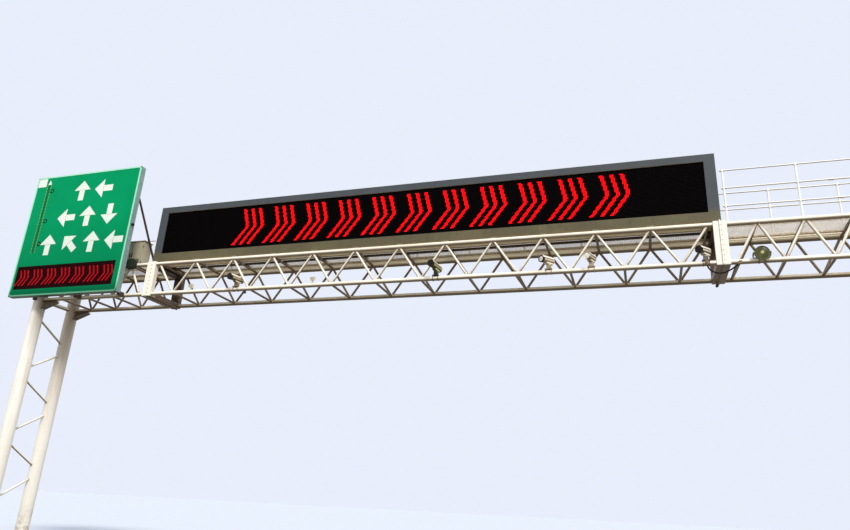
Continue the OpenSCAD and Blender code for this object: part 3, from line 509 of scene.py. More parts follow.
def board_dust(tree):
    """Dust that rain washes off the screen and leaves on the frame's lower bar and the board's foot."""
    low_down = beyond(tree, "Z", DUST_NONE_Z, DUST_FULL_Z)
    return [([low_down], 0.96, "#5d563c"),
            ([low_down, blotches(tree, 0.9, 0.45, 0.65)], 0.5, "#726a4a"),
            ([low_down, blotches(tree, 0.18, 0.5, 0.7)], 0.45, "#4d4737")]


# The board's pale tan underside is a painted light, thrown up from the road.
BOARD_COAT = powder_coat("grey_powder_coat_on_folded_sheet", "#484e53", "#3b3f43", roughness=0.55,
                         below="#a8926c", more=board_dust)
CABINET_COAT = powder_coat("sand_powder_coat_on_folded_sheet", "#bdb79e", "#a39a82", below="#4b4232")
DARK_STEEL = powder_coat("dark_brown_bitumen_paint", "#54473a", "#332a20", roughness=0.6)
# The rear angles are toned cream.
ANGLE_STEEL = powder_coat("bitumen_paint_cream_at_the_rear", "#4a3d30", "#2f261c", roughness=0.6,
                          more=lambda tree: [([beyond(tree, "Y", 0.7, 0.9)], 0.95, "#e0d1b3")])
SILL_COAT = powder_coat("cream_enamel_on_channel", "#f0e6cc", "#d2c19c", below="#54452f",
                        more=lambda tree: [([beyond(tree, "Y", 0.22, 0.12)], 0.92, "#6e674a")])
BAND_STEEL = powder_coat("rusted_band_steel", "#8f745a", "#664c38", below="#3a2a1e")
SENSOR_SHELL = powder_coat("cream_moulded_polycarbonate", "#efe6d2", "#c9b898", below="#4a3a28")
BOX_SHELL = powder_coat("dark_green_cast_iron", "#232d22", "#151b14", roughness=0.45, below="#0d0f0b")
BLACK_SHELL = powder_coat("black_cast_aluminium", "#0d0c0b", "#070605", roughness=0.6)
LAMP_SHELL = powder_coat("olive_cast_aluminium", "#5f602f", "#41421e", roughness=0.5, below="#2b2b15")
# The sheet's dark green underside is a painted shade.
SIGN_SHEET = powder_coat("mill_finish_aluminium_sheet", "#8eaaa7", "#5d7a74", roughness=0.4, size=0.12,
                         streaks=0.35, below="#0a2c20",
                         more=lambda tree: [([facing(tree, "Y", 0.4, 0.8)], 0.9, "#9ba3a2"),
                                            ([facing(tree, "Z", -0.2, -0.7)], 1.0, "#0a2c20")])

# %% [markdown]
# A camera's shell is moulded and painted once. What faces up or to +X takes the shield's tone, the cream
# sunshield with painted light on it, the flanks are tan, and what faces down takes the belly's tone, road
# dirt under a painted shade. The bracket below has a dirty tone of its own. Each camera gets its own set of
# four tones in the same recipe.

# %% Camera shells
SADDLE_Z = beam_z + 0.165


def camera_shell(name, shield_and_painted_light, flank, belly_dirt_and_shade, bracket):
    """Painted shell: the shield's tone, with painted light, on what faces up or to the sun's side, the
    belly's tone as painted shade on what faces down, and the bracket's tone below the saddle."""
    finish, tree, shader = new_finish(name, flank, 0.4, specular=0.35)
    coats(tree, shader, flank, [
        ([blotches(tree, 0.08, 0.4, 0.7)], 0.35, belly_dirt_and_shade),
        # Painted light on what faces up and to +X, and painted shade on what faces down.
        ([facing(tree, "Z", 0.25, 0.6)], 0.95, shield_and_painted_light),
        ([facing(tree, "X", 0.6, 0.9)], 0.6, shield_and_painted_light),
        ([facing(tree, "Z", -0.05, -0.5)], 0.9, belly_dirt_and_shade),
        ([beyond(tree, "Z", SADDLE_Z + 0.01, SADDLE_Z - 0.01)], 0.9, bracket),
    ])
    orange_peel(tree, shader, 0.01, 0.08)
    return finish


TAN_CAMERA = camera_shell("tan_camera_shell", "#fff6dc", "#95794f", "#3b2c1a", "#74603c")
OLIVE_CAMERA = camera_shell("olive_camera_shell", "#ece4ae", "#6c6744", "#1c1a10", "#12120b")
CREAM_CAMERA = camera_shell("cream_camera_shell", "#fff9ec", "#eadfc8", "#7b6850", "#8f7f62")
WORN_CAMERA = camera_shell("worn_cream_camera_shell", "#f6eedb", "#cfc0a4", "#6a553f", "#a5957a")
WHITE_CAMERA = camera_shell("white_camera_shell", "#fff8ea", "#f0e7d6", "#3a2b1d", "#4c3b2a")

# %% [markdown]
# Four finishes are the same all over: the black polyethylene of the lead, the screen's modules, which are
# matt so that daylight doesn't wash the message out, and the camera glass, which is dark where it sees the
# road and pale where the sun stands in it.

# %% Rubber, screen and glass
BLACK_RUBBER = new_finish("black_polyethylene_conduit", "#0a0a0b", 0.6, specular=0.2)[0]
SCREEN_BLACK = new_finish("matt_black_led_module", "#020203", 0.95, specular=0.04)[0]
DARK_GLASS = new_finish("coated_camera_glass", "#050608", 0.15, specular=0.25)[0]
PALE_GLASS = new_finish("sunlit_camera_glass", "#e8e6df", 0.2)[0]

# %% [markdown]
# ### Reflective sheeting
# The sign is covered with prismatic film: a clear skin over honeycomb cells some four millimetres wide,
# which send a headlamp's light back and give the green its depth by day. At this distance they would not
# show, so they are drawn three times too large. Towards its foot the sheet grows deeper, a painted shadow,
# and its very foot and what faces down are darker still, a painted shade.

# %% Sign sheeting
def reflective_sheeting(name, color, deeper_tone_and_shadow):
    """Prismatic film: the cells' walls and wide patches are a deeper tone. The lower part is a painted
    shadow in that tone, and the foot and what faces down a darker painted shade.
    """
    finish, tree, shader = new_finish(name, color, 0.6, specular=0.03)
    place = add_node(tree, "ShaderNodeTexCoord").outputs["Object"]
    cells = add_node(tree, "ShaderNodeTexVoronoi", {"Vector": place, "Scale": 90.0},
                     feature="DISTANCE_TO_EDGE").outputs["Distance"]
    walls = add_node(tree, "ShaderNodeMapRange", {"Value": cells, "From Min": 0.12, "From Max": 0.02})
    coats(tree, shader, color, [([walls.outputs["Result"]], 0.15, deeper_tone_and_shadow),
                                ([blotches(tree, 0.8, 0.35, 0.75)], 0.25, deeper_tone_and_shadow),
                                # Painted shadow towards the foot, and painted shade at the very foot and on
                                # what faces down.
                                ([beyond(tree, "Z", 9.2, 6.8)], 0.8, deeper_tone_and_shadow),
                                ([beyond(tree, "Z", 6.95, 6.75)], 0.5, "#03422c"),
                                ([facing(tree, "Z", -0.3, -0.8)], 0.85, "#16382a")])
    return finish


SIGN_GREEN = reflective_sheeting("green_prismatic_sheeting", "#009c64", "#00744a")
SIGN_DEEP = reflective_sheeting("deep_green_prismatic_sheeting", "#03764a", "#035c3a")
SIGN_INK = reflective_sheeting("dark_green_screen_print", "#08281c", "#051a12")
SIGN_WHITE = reflective_sheeting("white_prismatic_sheeting", "#eef6ee", "#c9d8cf")
SIGN_MINT = reflective_sheeting("pale_green_edge_sheeting", "#a9edcf", "#7fd0ac")
SIGN_LIME = reflective_sheeting("yellow_green_prismatic_sheeting", "#9cbf58", "#759a3e")

# %% [markdown]
# ### Light from the diodes
# A lit diode is a clear red dome over a small chip. Its own glow is what the eye sees, so the shader's
# emission does the work, and the unlit ones are dark lenses with a faint red cast. The strip's unlit diodes
# are given a faint red glow as well, a painted glow.

# %% Glowing finishes
def glowing(name, color, strength):
    """A diode's dome that gives off light of its own colour."""
    finish, _, shader = new_finish(name, color, 0.6, specular=0.05)
    shader.inputs["Emission Color"].default_value = linear(color)
    shader.inputs["Emission Strength"].default_value = strength
    return finish


LED_LIT = glowing("lit_red_diode", "#ff0a12", 1.6)
STRIP_LIT = glowing("dim_red_diode", "#c00a1a", 0.9)
# A painted glow: the strip's unlit diodes give off a little light.
STRIP_OFF_PAINTED_GLOW = glowing("unlit_diode_with_painted_red_glow", "#34060a", 0.6)
LED_OFF = new_finish("unlit_red_diode", "#0b0405", 0.6, specular=0.05)[0]

# %% [markdown]
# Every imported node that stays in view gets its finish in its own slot. The ones that a new piece will
# stand for are dressed too, so that nothing is ever left bare.

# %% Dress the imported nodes
NODE_FINISHES = {
    "foot": COLUMN_PAINT, "column": COLUMN_PAINT, "leg_bracing": TRUSS_PAINT, "haunches": HAUNCH_PAINTED_SHADE,
    "lattice": TRUSS_PAINT, "struts": TRUSS_PAINT, "frame": JOINT_PAINT, "railing": RAIL_PAINT,
    "rails": RAIL_PAINT, "angles": ANGLE_STEEL, "deck": DECK_ZINC_PAINTED_LIGHT, "ducts": DUCT_ZINC_PAINTED_LIGHT,
    "joint_plates": DARK_STEEL, "board_housing": BOARD_COAT, "board_frame": BOARD_COAT,
    "board_screen": SCREEN_BLACK, "board_sills": SILL_COAT, "sign_box": SIGN_SHEET, "sign_face": SIGN_GREEN,
    "sign_display": SCREEN_BLACK, "sign_posts": DARK_STEEL, "sign_stays": DARK_STEEL,
    "cabinet": CABINET_COAT, "terminal_box": BOX_SHELL, "lane_camera_1": TAN_CAMERA,
    "lane_camera_2": OLIVE_CAMERA, "lane_camera_3": CREAM_CAMERA, "lane_camera_4": WORN_CAMERA,
    "lane_camera_5": WHITE_CAMERA, "sensors": SENSOR_SHELL, "lamp": LAMP_SHELL,
    "lead_boxes": BAND_STEEL, "camera_lead": BLACK_RUBBER,
}


def finish_for(node_name):
    """The finish whose key is the longest one found in the node's name."""
    keys = [key for key in NODE_FINISHES if key in node_name]
    return NODE_FINISHES[max(keys, key=len)]


for node_name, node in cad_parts.items():
    node.data.materials.clear()
    node.data.materials.append(finish_for(node_name))
print(len(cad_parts), "packed nodes dressed")

# %% [markdown]
# ## The sagging lead
# One black lead hangs under the right joint, from gland to gland. It is a curve of one open spline through
# the route's own points, rounded by a bevel of its real radius. The points are places from the middle of the
# joint, at the height of the bottom chord.

# %% The lead under the right joint
LEAD_D = 0.034
LEAD_Y = -0.088
LEAD_ROUTE = [
    (-0.330, -0.060), (-0.328, -0.084), (-0.321, -0.113), (-0.308, -0.143), (-0.288, -0.173),
    (-0.261, -0.200), (-0.227, -0.224), (-0.187, -0.243), (-0.143, -0.255), (-0.096, -0.260),
    (-0.048, -0.258), (0.000, -0.249), (0.047, -0.233), (0.092, -0.211), (0.135, -0.186),
    (0.176, -0.158), (0.214, -0.129), (0.248, -0.101), (0.270, -0.082),
]


def make_lead():
    """A bevelled curve through the route's points."""
    route = np.array([(joints[1] + x, LEAD_Y, beam_z + z) for x, z in LEAD_ROUTE])
    curve = bpy.data.curves.new("camera_lead_run", "CURVE")
    curve.dimensions = "3D"
    curve.bevel_depth = LEAD_D / 2
    curve.bevel_resolution = 4
    curve.use_fill_caps = True
    spline = curve.splines.new("POLY")
    spline.points.add(len(route) - 1)
    spline.points.foreach_set("co", np.column_stack([route, np.ones(len(route))]).ravel())
    curve.materials.append(BLACK_RUBBER)
    lead = bpy.data.objects.new("sagging_lead", curve)
    bpy.context.scene.collection.objects.link(lead)
    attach(lead, "root")
    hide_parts("camera_lead")


make_lead()

# %% [markdown]
# ## Tubes that really meet
# A truss tube is cut to a saddle so that it sits on the chord, and the joint is closed with a weld bead.
# A plain cylinder run into the chord would do from afar, but its edge would be a hard line. The saddle
# has a formula: a line on the bar's skin leaves the chord's axis and meets the chord's skin where its
# distance from that axis is the chord's radius, which is a quadratic in the way along the bar. The bead
# is a thin ring swept along the same curve.

# %% Bars with saddle ends and weld beads
BAR_SIDES = 20
BEAD_R = 0.006
BEAD_SIDES = 6
RUST_REACH = 0.09
RING_MARKS = np.array([0.0, 0.02, 0.05, 0.1, 0.2])
SHORT_BAR = 0.5


def saddle(point, way, outward, radius, seat):
    """Where the bar's skin meets a round seat: for each outward direction e, the way t along the bar that
    solves |the part of (p + r e + t d) square to the seat's axis| = R."""
    axis = unit(seat[1])
    base = point - np.asarray(seat[0], float) + radius * outward
    base_square = base - (base @ axis)[:, None] * axis
    way_square = way - (way @ axis) * axis
    a = way_square @ way_square
    b = 2 * base_square @ way_square
    c = np.einsum("ij,ij->i", base_square, base_square) - seat[2] ** 2
    reach = (-b + np.sqrt(np.maximum(b * b - 4 * a * c, 0.0))) / (2 * a)
    return point + radius * outward + reach[:, None] * way


def bead(curve, outward, along):
    """A weld bead: a ring of radius BEAD_R round each point of the saddle, in the plane of the bar's
    outward direction and the bar itself."""
    turn = np.linspace(0, 2 * np.pi, BEAD_SIDES, endpoint=False)
    points = (curve[:, None, :] + BEAD_R * (np.cos(turn)[None, :, None] * outward[:, None, :]
                                            + np.sin(turn)[None, :, None] * along))
    return points.reshape(-1, 3), [grid_faces(len(curve), BEAD_SIDES, closed=True)[:, ::-1]]


def bar(start, end, radius, seats=(None, None), sides=BAR_SIDES):
    """A tube from start to end. A seat is (point on its axis, axis, radius), and None is a flat end.
    Returns surfaces and the weld field. Rings lie close together near the ends, where rust shows."""
    start = np.asarray(start, float)
    end = np.asarray(end, float)
    along = unit(end - start)
    angles = np.linspace(0, 2 * np.pi, sides, endpoint=False)
    first, second = across(along)
    outward = np.cos(angles)[:, None] * first + np.sin(angles)[:, None] * second
    rims = []
    welds = []
    for point, way, seat in ((start, along, seats[0]), (end, -along, seats[1])):
        rim = point + radius * outward if seat is None else saddle(point, way, outward, radius, seat)
        rims.append(rim)
        if seat is not None:
            welds.append(bead(rim, outward, along))
    reach = np.linalg.norm(rims[1].mean(0) - rims[0].mean(0))
    marks = RING_MARKS / reach
    shares = np.concatenate([marks, [0.5], 1 - marks[::-1]]) if reach > SHORT_BAR else np.linspace(0, 1, 5)
    rings = rims[0][None] * (1 - shares[:, None, None]) + rims[1][None] * shares[:, None, None]
    here = np.exp(-shares * reach / RUST_REACH) if seats[0] else np.zeros(len(shares))
    there = np.exp(-(1 - shares) * reach / RUST_REACH) if seats[1] else np.zeros(len(shares))
    field = [np.repeat(np.maximum(here, there), sides)]
    faces = [grid_faces(len(shares), sides), np.arange(sides)[::-1][None],
             ((len(shares) - 1) * sides + np.arange(sides))[None]]
    field += [np.ones(len(points)) for points, _ in welds]
    return [(rings.reshape(-1, 3), faces)] + welds, np.concatenate(field)


def add_bars(name, bars, material, replaces, others=()):
    """Joins bars, each its surfaces and its weld field, and other surfaces into one piece."""
    surfaces = [surface for parts, _ in bars for surface in parts] + list(others)
    weld = [field for _, field in bars] + [np.zeros(len(points)) for points, _ in others]
    add_piece(name, surfaces, material, replaces, fields={"weld": np.concatenate(weld)})


# %% [markdown]
# Each flat side of the truss is two chords and a zigzag of thinner bars between them, from node to node.
# Struts cross from the front side to the rear one. The outer chords end on the columns, and the bars and
# struts on a chord, so a seat is one of two kinds.

# %% Lattices and struts
X_AXIS = np.array([1.0, 0.0, 0.0])
Y_AXIS = np.array([0.0, 1.0, 0.0])
Z_AXIS = np.array([0.0, 0.0, 1.0])


def chord_seat(y, z):
    """A chord as a seat for other bars."""
    return ((0.0, y, z), X_AXIS, CHORD_R)


def column_seat(x, y):
    """A column as a seat for other bars."""
    return ((x, y, 0.0), Z_AXIS, COLUMN_R)


def zigzag(y, tops, bottoms):
    """The diagonal bars of one flat side: every top node joined to its two nearest bottom nodes."""
    nodes = sorted([(x, True) for x in tops] + [(x, False) for x in bottoms])
    bars = []
    for (x_a, a_high), (x_b, _) in zip(nodes[:-1], nodes[1:]):
        z_a, z_b = (top_z, beam_z) if a_high else (beam_z, top_z)
        bars.append(bar((x_a, y, z_a), (x_b, y, z_b), LACING_R, (chord_seat(y, z_a), chord_seat(y, z_b))))
    return bars


def chords(y, start, end, seats=(None, None)):
    """The upper and the lower chord of one flat side."""
    return [bar((start, y, z), (end, y, z), CHORD_R, seats, sides=32) for z in (beam_z, top_z)]


def struts(places, z):
    """Bars from the front chord to the rear chord."""
    return [bar((x, 0, z), (x, rear_y, z), STRUT_R, (chord_seat(0, z), chord_seat(rear_y, z)))
            for x in places]


for side, y, chord_paint, lacing_paint in (("front", 0.0, TRUSS_PAINT, TRUSS_PAINT),
                                           ("rear", rear_y, REAR_PAINTED_SHADE, LACING_PAINTED_SHADE)):
    for part, chord_bars, lacing in (
            ("mid", chords(y, mid_low.x, mid_high.x), zigzag(y, mid_tops, mid_bottoms)),
            ("left", chords(y, 0.0, end_to, (column_seat(0.0, y), None)), zigzag(y, end_tops, end_bottoms)),
            ("right", chords(y, span - end_to, span, (None, column_seat(span, y))),
             zigzag(y, span - end_tops, span - end_bottoms))):
        add_bars(f"{part}_{side}_chords", chord_bars, chord_paint, [f"{part}_{side}_lattice"])
        add_bars(f"{part}_{side}_lacing", lacing, lacing_paint, [])

# The struts take the rear bars' painted shade.
add_bars("mid_top_cross_tubes", struts(mid_tops, top_z), LACING_PAINTED_SHADE, ["mid_top_struts"])
add_bars("mid_bottom_cross_tubes", struts(mid_bottoms, beam_z), LACING_PAINTED_SHADE, ["mid_bottom_struts"])
add_bars("left_cross_tubes", struts(end_tops, top_z) + struts(end_bottoms, beam_z), LACING_PAINTED_SHADE,
         ["left_struts"])
add_bars("right_cross_tubes", struts(span - end_tops, top_z) + struts(span - end_bottoms, beam_z),
         LACING_PAINTED_SHADE, ["right_struts"])

# %% [markdown]
# ## Legs
# A column is a rolled and seam-welded tube with a cap plate, so it is two turned profiles. Its girth welds
# are low beads where two lengths of tube meet. The zigzag bars between the columns end in saddles on
# them, and two thicker tubes join the heads at the height of the chords.

# %% Columns, bracing and anchor bolts
GIRTH_WELDS = (2.45, 4.90)
LEG_BAR_R = 0.030
HEAD_TUBE_R = 0.057
LEG_NODE_TOP = 6.300
LEG_NODE_PITCH = 0.890
LEG_NODE_GAP = 0.150
LEG_BARS = 6


def column(x, y, low, high):
    """A column: a profile from foot to cap with a bead at each girth weld, and the cap plate."""
    head = high - CAP_T
    profile = [(COLUMN_R, low)]
    for z in GIRTH_WELDS:
        profile += [(COLUMN_R, z - 0.008), (COLUMN_R + 0.0025, z - 0.003),
                    (COLUMN_R + 0.0025, z + 0.003), (COLUMN_R, z + 0.008)]
    tube = turned(profile + [(COLUMN_R, head)], 64)
    rim = COLUMN_R + CAP_LIP
    cap = turned([(rim - 0.002, head), (rim, head + 0.002), (rim, high - 0.002), (rim - 0.002, high)], 64)
    return [copies(surface, (x, y, 0)) for surface in (tube, cap)]


def leg_bracing(x):
    """Zigzag bars from column to column, one below another, and the two head tubes."""
    bars = []
    for i in range(LEG_BARS):
        upper = LEG_NODE_TOP - i * LEG_NODE_PITCH - LEG_NODE_GAP
        lower = LEG_NODE_TOP - (i + 1) * LEG_NODE_PITCH + LEG_NODE_GAP
        z_front, z_rear = (upper, lower) if i % 2 == 0 else (lower, upper)
        bars.append(bar((x, COLUMN_R / 2, z_front), (x, rear_y - COLUMN_R / 2, z_rear), LEG_BAR_R,
                        (column_seat(x, 0), column_seat(x, rear_y))))
    for z in (beam_z, top_z):
        bars.append(bar((x, 0, z), (x, rear_y, z), HEAD_TUBE_R,
                        (column_seat(x, 0), column_seat(x, rear_y))))
    return bars


for end, x in (("left", 0.0), ("right", span)):
    for side, y in (("front", 0.0), ("rear", rear_y)):
        low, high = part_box(f"{end}_{side}_column")
        add_piece(f"{end}_{side}_tube", column(x, y, low.z, high.z), COLUMN_PAINT,
                  [f"{end}_{side}_column"], sharp=12.0)
    add_bars(f"{end}_leg_bars", leg_bracing(x), TRUSS_PAINT, [f"{end}_leg_bracing"])

ANCHOR_SPACING = 0.560
FOOT_T = 0.030


def anchors():
    """On each anchor hole a washer, a nut and the end of its bolt, all turned, the nut with six sides."""
    sides = np.array([[sx, sy] for sx in (-1, 1) for sy in (-1, 1)]) * ANCHOR_SPACING / 2
    feet = np.array([[x, y] for x in (0.0, span) for y in (0.0, rear_y)])
    spots = (feet[:, None] + sides[None]).reshape(-1, 2)
    places = points_at(spots[:, 0], spots[:, 1], FOOT_T)
    washer = turned([(0.037, 0.0), (0.037, 0.005), (0.036, 0.006)], 24)
    nut = turned([(0.0310, 0.006), (0.0318, 0.009), (0.0318, 0.034), (0.0300, 0.036)], 6)
    thread = turned([(0.0180, 0.030), (0.0180, 0.066), (0.0165, 0.070)], 20)
    return [copies(part, places) for part in (washer, nut, thread)]


add_piece("anchor_nuts", anchors(), ZINC)

# %% [markdown]
# ## The bolted joints
# Each joint is two flange plates drawn together by a row of hexagon bolts round the rim. A head and a nut
# are six-sided turned shapes, and one array of places along the rectangle serves both sides.

# %% Flange bolts
BOLT_PITCH = 0.120
BOLT_LINE = 0.0775
BOLT_R = 0.0095
FLANGE_PAIR = 0.0153


def rectangle_walk(low, high, pitch):
    """Points spaced evenly round a rectangle in the YZ plane, given by two corners."""
    corners = np.array([(low[0], low[1]), (high[0], low[1]), (high[0], high[1]), (low[0], high[1])])
    spots = []
    for a, b in zip(corners, np.roll(corners, -1, axis=0)):
        count = max(2, round(float(np.linalg.norm(b - a)) / pitch))
        spots.append(a + (b - a) * np.arange(count)[:, None] / count)
    return np.concatenate(spots)


def flange_bolts():
    """Bolt heads on one side of each joint and nuts with thread ends on the other."""
    y, z = rectangle_walk((-BOLT_LINE, beam_z - BOLT_LINE), (rear_y + BOLT_LINE, top_z + BOLT_LINE),
                          BOLT_PITCH).T
    head = turned([(BOLT_R, 0.0), (BOLT_R, 0.006), (BOLT_R - 0.002, 0.0075)], 6)
    nut = turned([(BOLT_R, 0.0), (BOLT_R, 0.009), (BOLT_R - 0.002, 0.010)], 6)
    thread = turned([(0.006, 0.008), (0.006, 0.018)], 10)
    surfaces = []
    for middle in joints:
        surfaces.append(copies(head, points_at(middle - FLANGE_PAIR, y, z), -X_AXIS))
        right = points_at(middle + FLANGE_PAIR, y, z)
        surfaces += [copies(part, right, X_AXIS) for part in (nut, thread)]
    return surfaces


add_piece("flange_bolts", flange_bolts(), ZINC)

# %% [markdown]
# ## Railings
# The rails are lengths of pipe that meet the posts in clamp fittings: a short sleeve round each pipe and a
# ball where they cross. Posts end in domed caps. Balls and sleeves are turned shapes, copied to every
# crossing as one array.

# %% Rails, posts and fittings
POST_R = 0.022
RAIL_R = 0.017
RAIL_TOP = 1.300
RAIL_PITCH = 0.435
RAIL_COUNT = 3
REAR_FIRST = 1.250
REAR_PITCH = 1.440
FRONT_EDGE = 0.030
FRONT_PITCH = 1.470
SEAT = 0.0003
BALL_R = 0.030
BALL_TO = 1.3
DOME_TO = 1.45
SPLICES = ((20.973, 1), (21.098, 2))

rail_heights = top_z + RAIL_TOP - RAIL_PITCH * np.arange(RAIL_COUNT)
post_top = top_z + RAIL_TOP + 2 * RAIL_R
cap_top = top_z + CHORD_R + CAP_T


def post(x, y, base):
    """A post: a pipe with a domed cap, whose profile is nearly a quarter circle of the pipe's own radius."""
    a = np.linspace(0, DOME_TO, 6)
    dome = np.column_stack([POST_R * np.cos(a), post_top - POST_R + POST_R * np.sin(a)])
    return copies(turned([(POST_R, base), *dome], 20), (x, y, 0))


def fittings(xs, y, axis):
    """A ball at each crossing and a sleeve along the post and along the rail."""
    spots = np.array([(x, y, z) for x in xs for z in rail_heights])
    a = np.linspace(-BALL_TO, BALL_TO, 8)
    ball = turned(BALL_R * np.column_stack([np.cos(a), np.sin(a)]), 16)
    sleeve = turned([(RAIL_R, -0.052), (0.0225, -0.050), (0.0225, 0.050), (RAIL_R, 0.052)], 16)
    collar = turned([(POST_R, -0.040), (0.0275, -0.038), (0.0275, 0.038), (POST_R, 0.040)], 16)
    return [copies(ball, spots), copies(sleeve, spots, axis), copies(collar, spots)]


def rails(y, start, end):
    """The rails of one side, from end to end."""
    return [bar((start, y, z), (end, y, z), RAIL_R, sides=16) for z in rail_heights]


rear_posts = np.arange(REAR_FIRST, span - 2 * COLUMN_R, REAR_PITCH)
front_first = span - end_to - SEAT + FRONT_EDGE
front_posts = np.arange(front_first, span - 2 * COLUMN_R, FRONT_PITCH)
chord_top = top_z + CHORD_R + SEAT
others = [post(x, rear_y, chord_top) for x in rear_posts] + [post(x, rear_y, cap_top) for x in (0, span)]
others += fittings([0, *rear_posts, span], rear_y, X_AXIS)
add_bars("rear_rail_run", rails(rear_y, 0.0, span), RAIL_PAINT, ["rear_railing"], others)
others = [post(x, 0.0, chord_top) for x in front_posts] + [post(span, 0.0, cap_top)]
others += fittings([*front_posts, span], 0.0, X_AXIS)
sleeve = turned([(RAIL_R, -0.052), (0.027, -0.048), (0.027, 0.048), (RAIL_R, 0.052)], 16)
others.append(copies(sleeve, [(x, 0.0, rail_heights[row]) for x, row in SPLICES], X_AXIS))
add_bars("front_rail_run", rails(0.0, front_first, span), RAIL_PAINT, ["front_railing"], others)
left_low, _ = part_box("end_rails")
bars = [bar((x, low, z), (x, rear_y - POST_R - SEAT, z), RAIL_R, sides=16)
        for x, low in ((0.0, left_low.y), (span, POST_R + SEAT)) for z in rail_heights]
add_bars("end_rail_pipes", bars, RAIL_PAINT, ["end_rails"])

# %% [markdown]
# ## Expanded-metal decks
# The walkway's floor is steel sheet, slit and pulled open into diamonds. Each strand is one zigzag ribbon
# along the beam, and neighbouring ribbons touch at their peaks. A ribbon is a grid with a four-point
# section, and all ribbons of a deck are copies with every second one mirrored.

# %% Decks
DIAMOND_LONG = 0.110
DIAMOND_SHORT = 0.045
STRAND_W = 0.0055
STRAND_T = 0.005
EDGE_BAR_T = 0.006


def ribbons(low, high):
    """Zigzag strands over a rectangle: y = y_k + (-1)^(i+k) * swing, so that neighbours touch at peaks."""
    steps = max(2, int((high.x - low.x) / (DIAMOND_LONG / 2)))
    x = np.linspace(low.x, high.x, steps + 1)
    lanes = max(2, int((high.y - low.y) / (DIAMOND_SHORT / 2)))
    middles = low.y + (np.arange(lanes) + 0.5) * (high.y - low.y) / lanes
    swing = (high.y - low.y) / lanes / 2 - STRAND_W / 4
    sign = 1 - 2 * ((np.arange(lanes)[:, None] + np.arange(steps + 1)[None]) % 2)
    y = middles[:, None] + sign * swing
    half = STRAND_W / 2
    section = np.array([[-half, 0.0], [half, 0.0], [half, STRAND_T], [-half, STRAND_T]])
    points = np.empty((lanes, steps + 1, 4, 3))
    points[..., 0] = x[None, :, None]
    points[..., 1] = y[:, :, None] + section[None, None, :, 0]
    points[..., 2] = low.z + section[None, None, :, 1]
    strand = np.concatenate([grid_faces(steps + 1, 4), [[3, 2, 1, 0]], steps * 4 + np.arange(4)[None]])
    faces = strand[None] + np.arange(lanes)[:, None, None] * (steps + 1) * 4
    return points.reshape(-1, 3), [faces.reshape(-1, 4)]


def deck_edges(low, high):
    """Flat bars round the deck's edge."""
    t = EDGE_BAR_T
    lows = [low, (low.x, high.y - t, low.z), low, (high.x - t, low.y, low.z)]
    highs = [(high.x, low.y + t, high.z), high, (low.x + t, high.y, high.z), high]
    return boxes(lows, highs)


for part in ("left", "mid", "right"):
    low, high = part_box(f"{part}_deck")
    add_piece(f"{part}_deck_mesh", [ribbons(low, high), deck_edges(low, high)], DECK_ZINC_PAINTED_LIGHT,
              [f"{part}_deck"])

# %% [markdown]
# ## The message board
# The screen is made of modules with a diode every 31 mm. Between the rows run thin black louvres that keep
# the sun off, and the modules meet in fine seams. Lit diodes are red domes, and unlit ones low dark lenses.
# Which are lit is a formula on the row and column of the diode. The marks are plain slanted chevrons in
# groups, a pattern that says nothing but "this is where a message stands".

# %% The screen's diodes
LED_PITCH = 0.03125
PANEL_EDGE = 0.008

screen_low, screen_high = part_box("board_screen")


def fitting(low, high, pitch):
    """How many diodes fit between two edges of a panel."""
    return int((high - low - PANEL_EDGE) / pitch)


def diode_grid(low, high, pitch):
    """The places of all diodes, centred on the panel, as arrays of rows by columns."""
    columns = fitting(low.x, high.x, pitch)
    rows = fitting(low.z, high.z, pitch)
    x = (low.x + high.x) / 2 + (np.arange(columns) - (columns - 1) / 2) * pitch
    z = (low.z + high.z) / 2 + (np.arange(rows) - (rows - 1) / 2) * pitch
    return np.meshgrid(x, z)


SLANT = 0.24
POINT = 0.50
MARKS = 3


def slanted_chevrons(x, z, middle, half_height, first, group_pitch, groups, pitch, stroke):
    """Lit where the way along the board, sheared by SLANT of the height and drawn back by POINT of the
    height left above or below, falls within a stroke of one of the MARKS of a group."""
    up = z - middle
    sheared = x - SLANT * up - POINT * (half_height - np.abs(up)) - first
    group = np.floor(sheared / group_pitch)
    along = sheared - group * group_pitch
    inside = (group >= 0) & (group < groups) & (along < MARKS * pitch) & (np.abs(up) < half_height)
    return inside & (np.mod(along, pitch) < stroke)


DIODE_SIDES = 6
DIODE_SEAT = 0.0002
DOME_SHARE = 0.44
LENS_SHARE = 0.36
LENS_RISE = 0.10


def diodes(name, low, high, pitch, lit_material, dark_material, message):
    """Tall domes where the message is lit and low pointed lenses elsewhere, all facing the driver. A lens is
    a fan from its tip to a rim of six points, closed by one face behind."""
    x, z = diode_grid(low, high, pitch)
    lit = slanted_chevrons(x, z, (low.z + high.z) / 2, **message)
    spots = np.stack(np.broadcast_arrays(x, low.y, z), -1)
    r = pitch * DOME_SHARE
    dome = turned([(r, -DIODE_SEAT), (r * 0.6, r * 0.6)], DIODE_SIDES)
    rim = np.arange(DIODE_SIDES)
    r = pitch * LENS_SHARE
    t = rim * 2 * np.pi / DIODE_SIDES
    points = np.vstack([points_at(r * np.cos(t), r * np.sin(t), -DIODE_SEAT), [0.0, 0.0, pitch * LENS_RISE]])
    lens = points, [points_at(rim, (rim + 1) % DIODE_SIDES, DIODE_SIDES), rim[::-1][None]]
    add_piece(f"{name}_lit", [copies(dome, spots[lit], -Y_AXIS)], lit_material)
    add_piece(f"{name}_dark", [copies(lens, spots[~lit], -Y_AXIS)], dark_material)
    print(f"{name}: {x.shape[1]} by {x.shape[0]} diodes, {int(lit.sum())} lit")


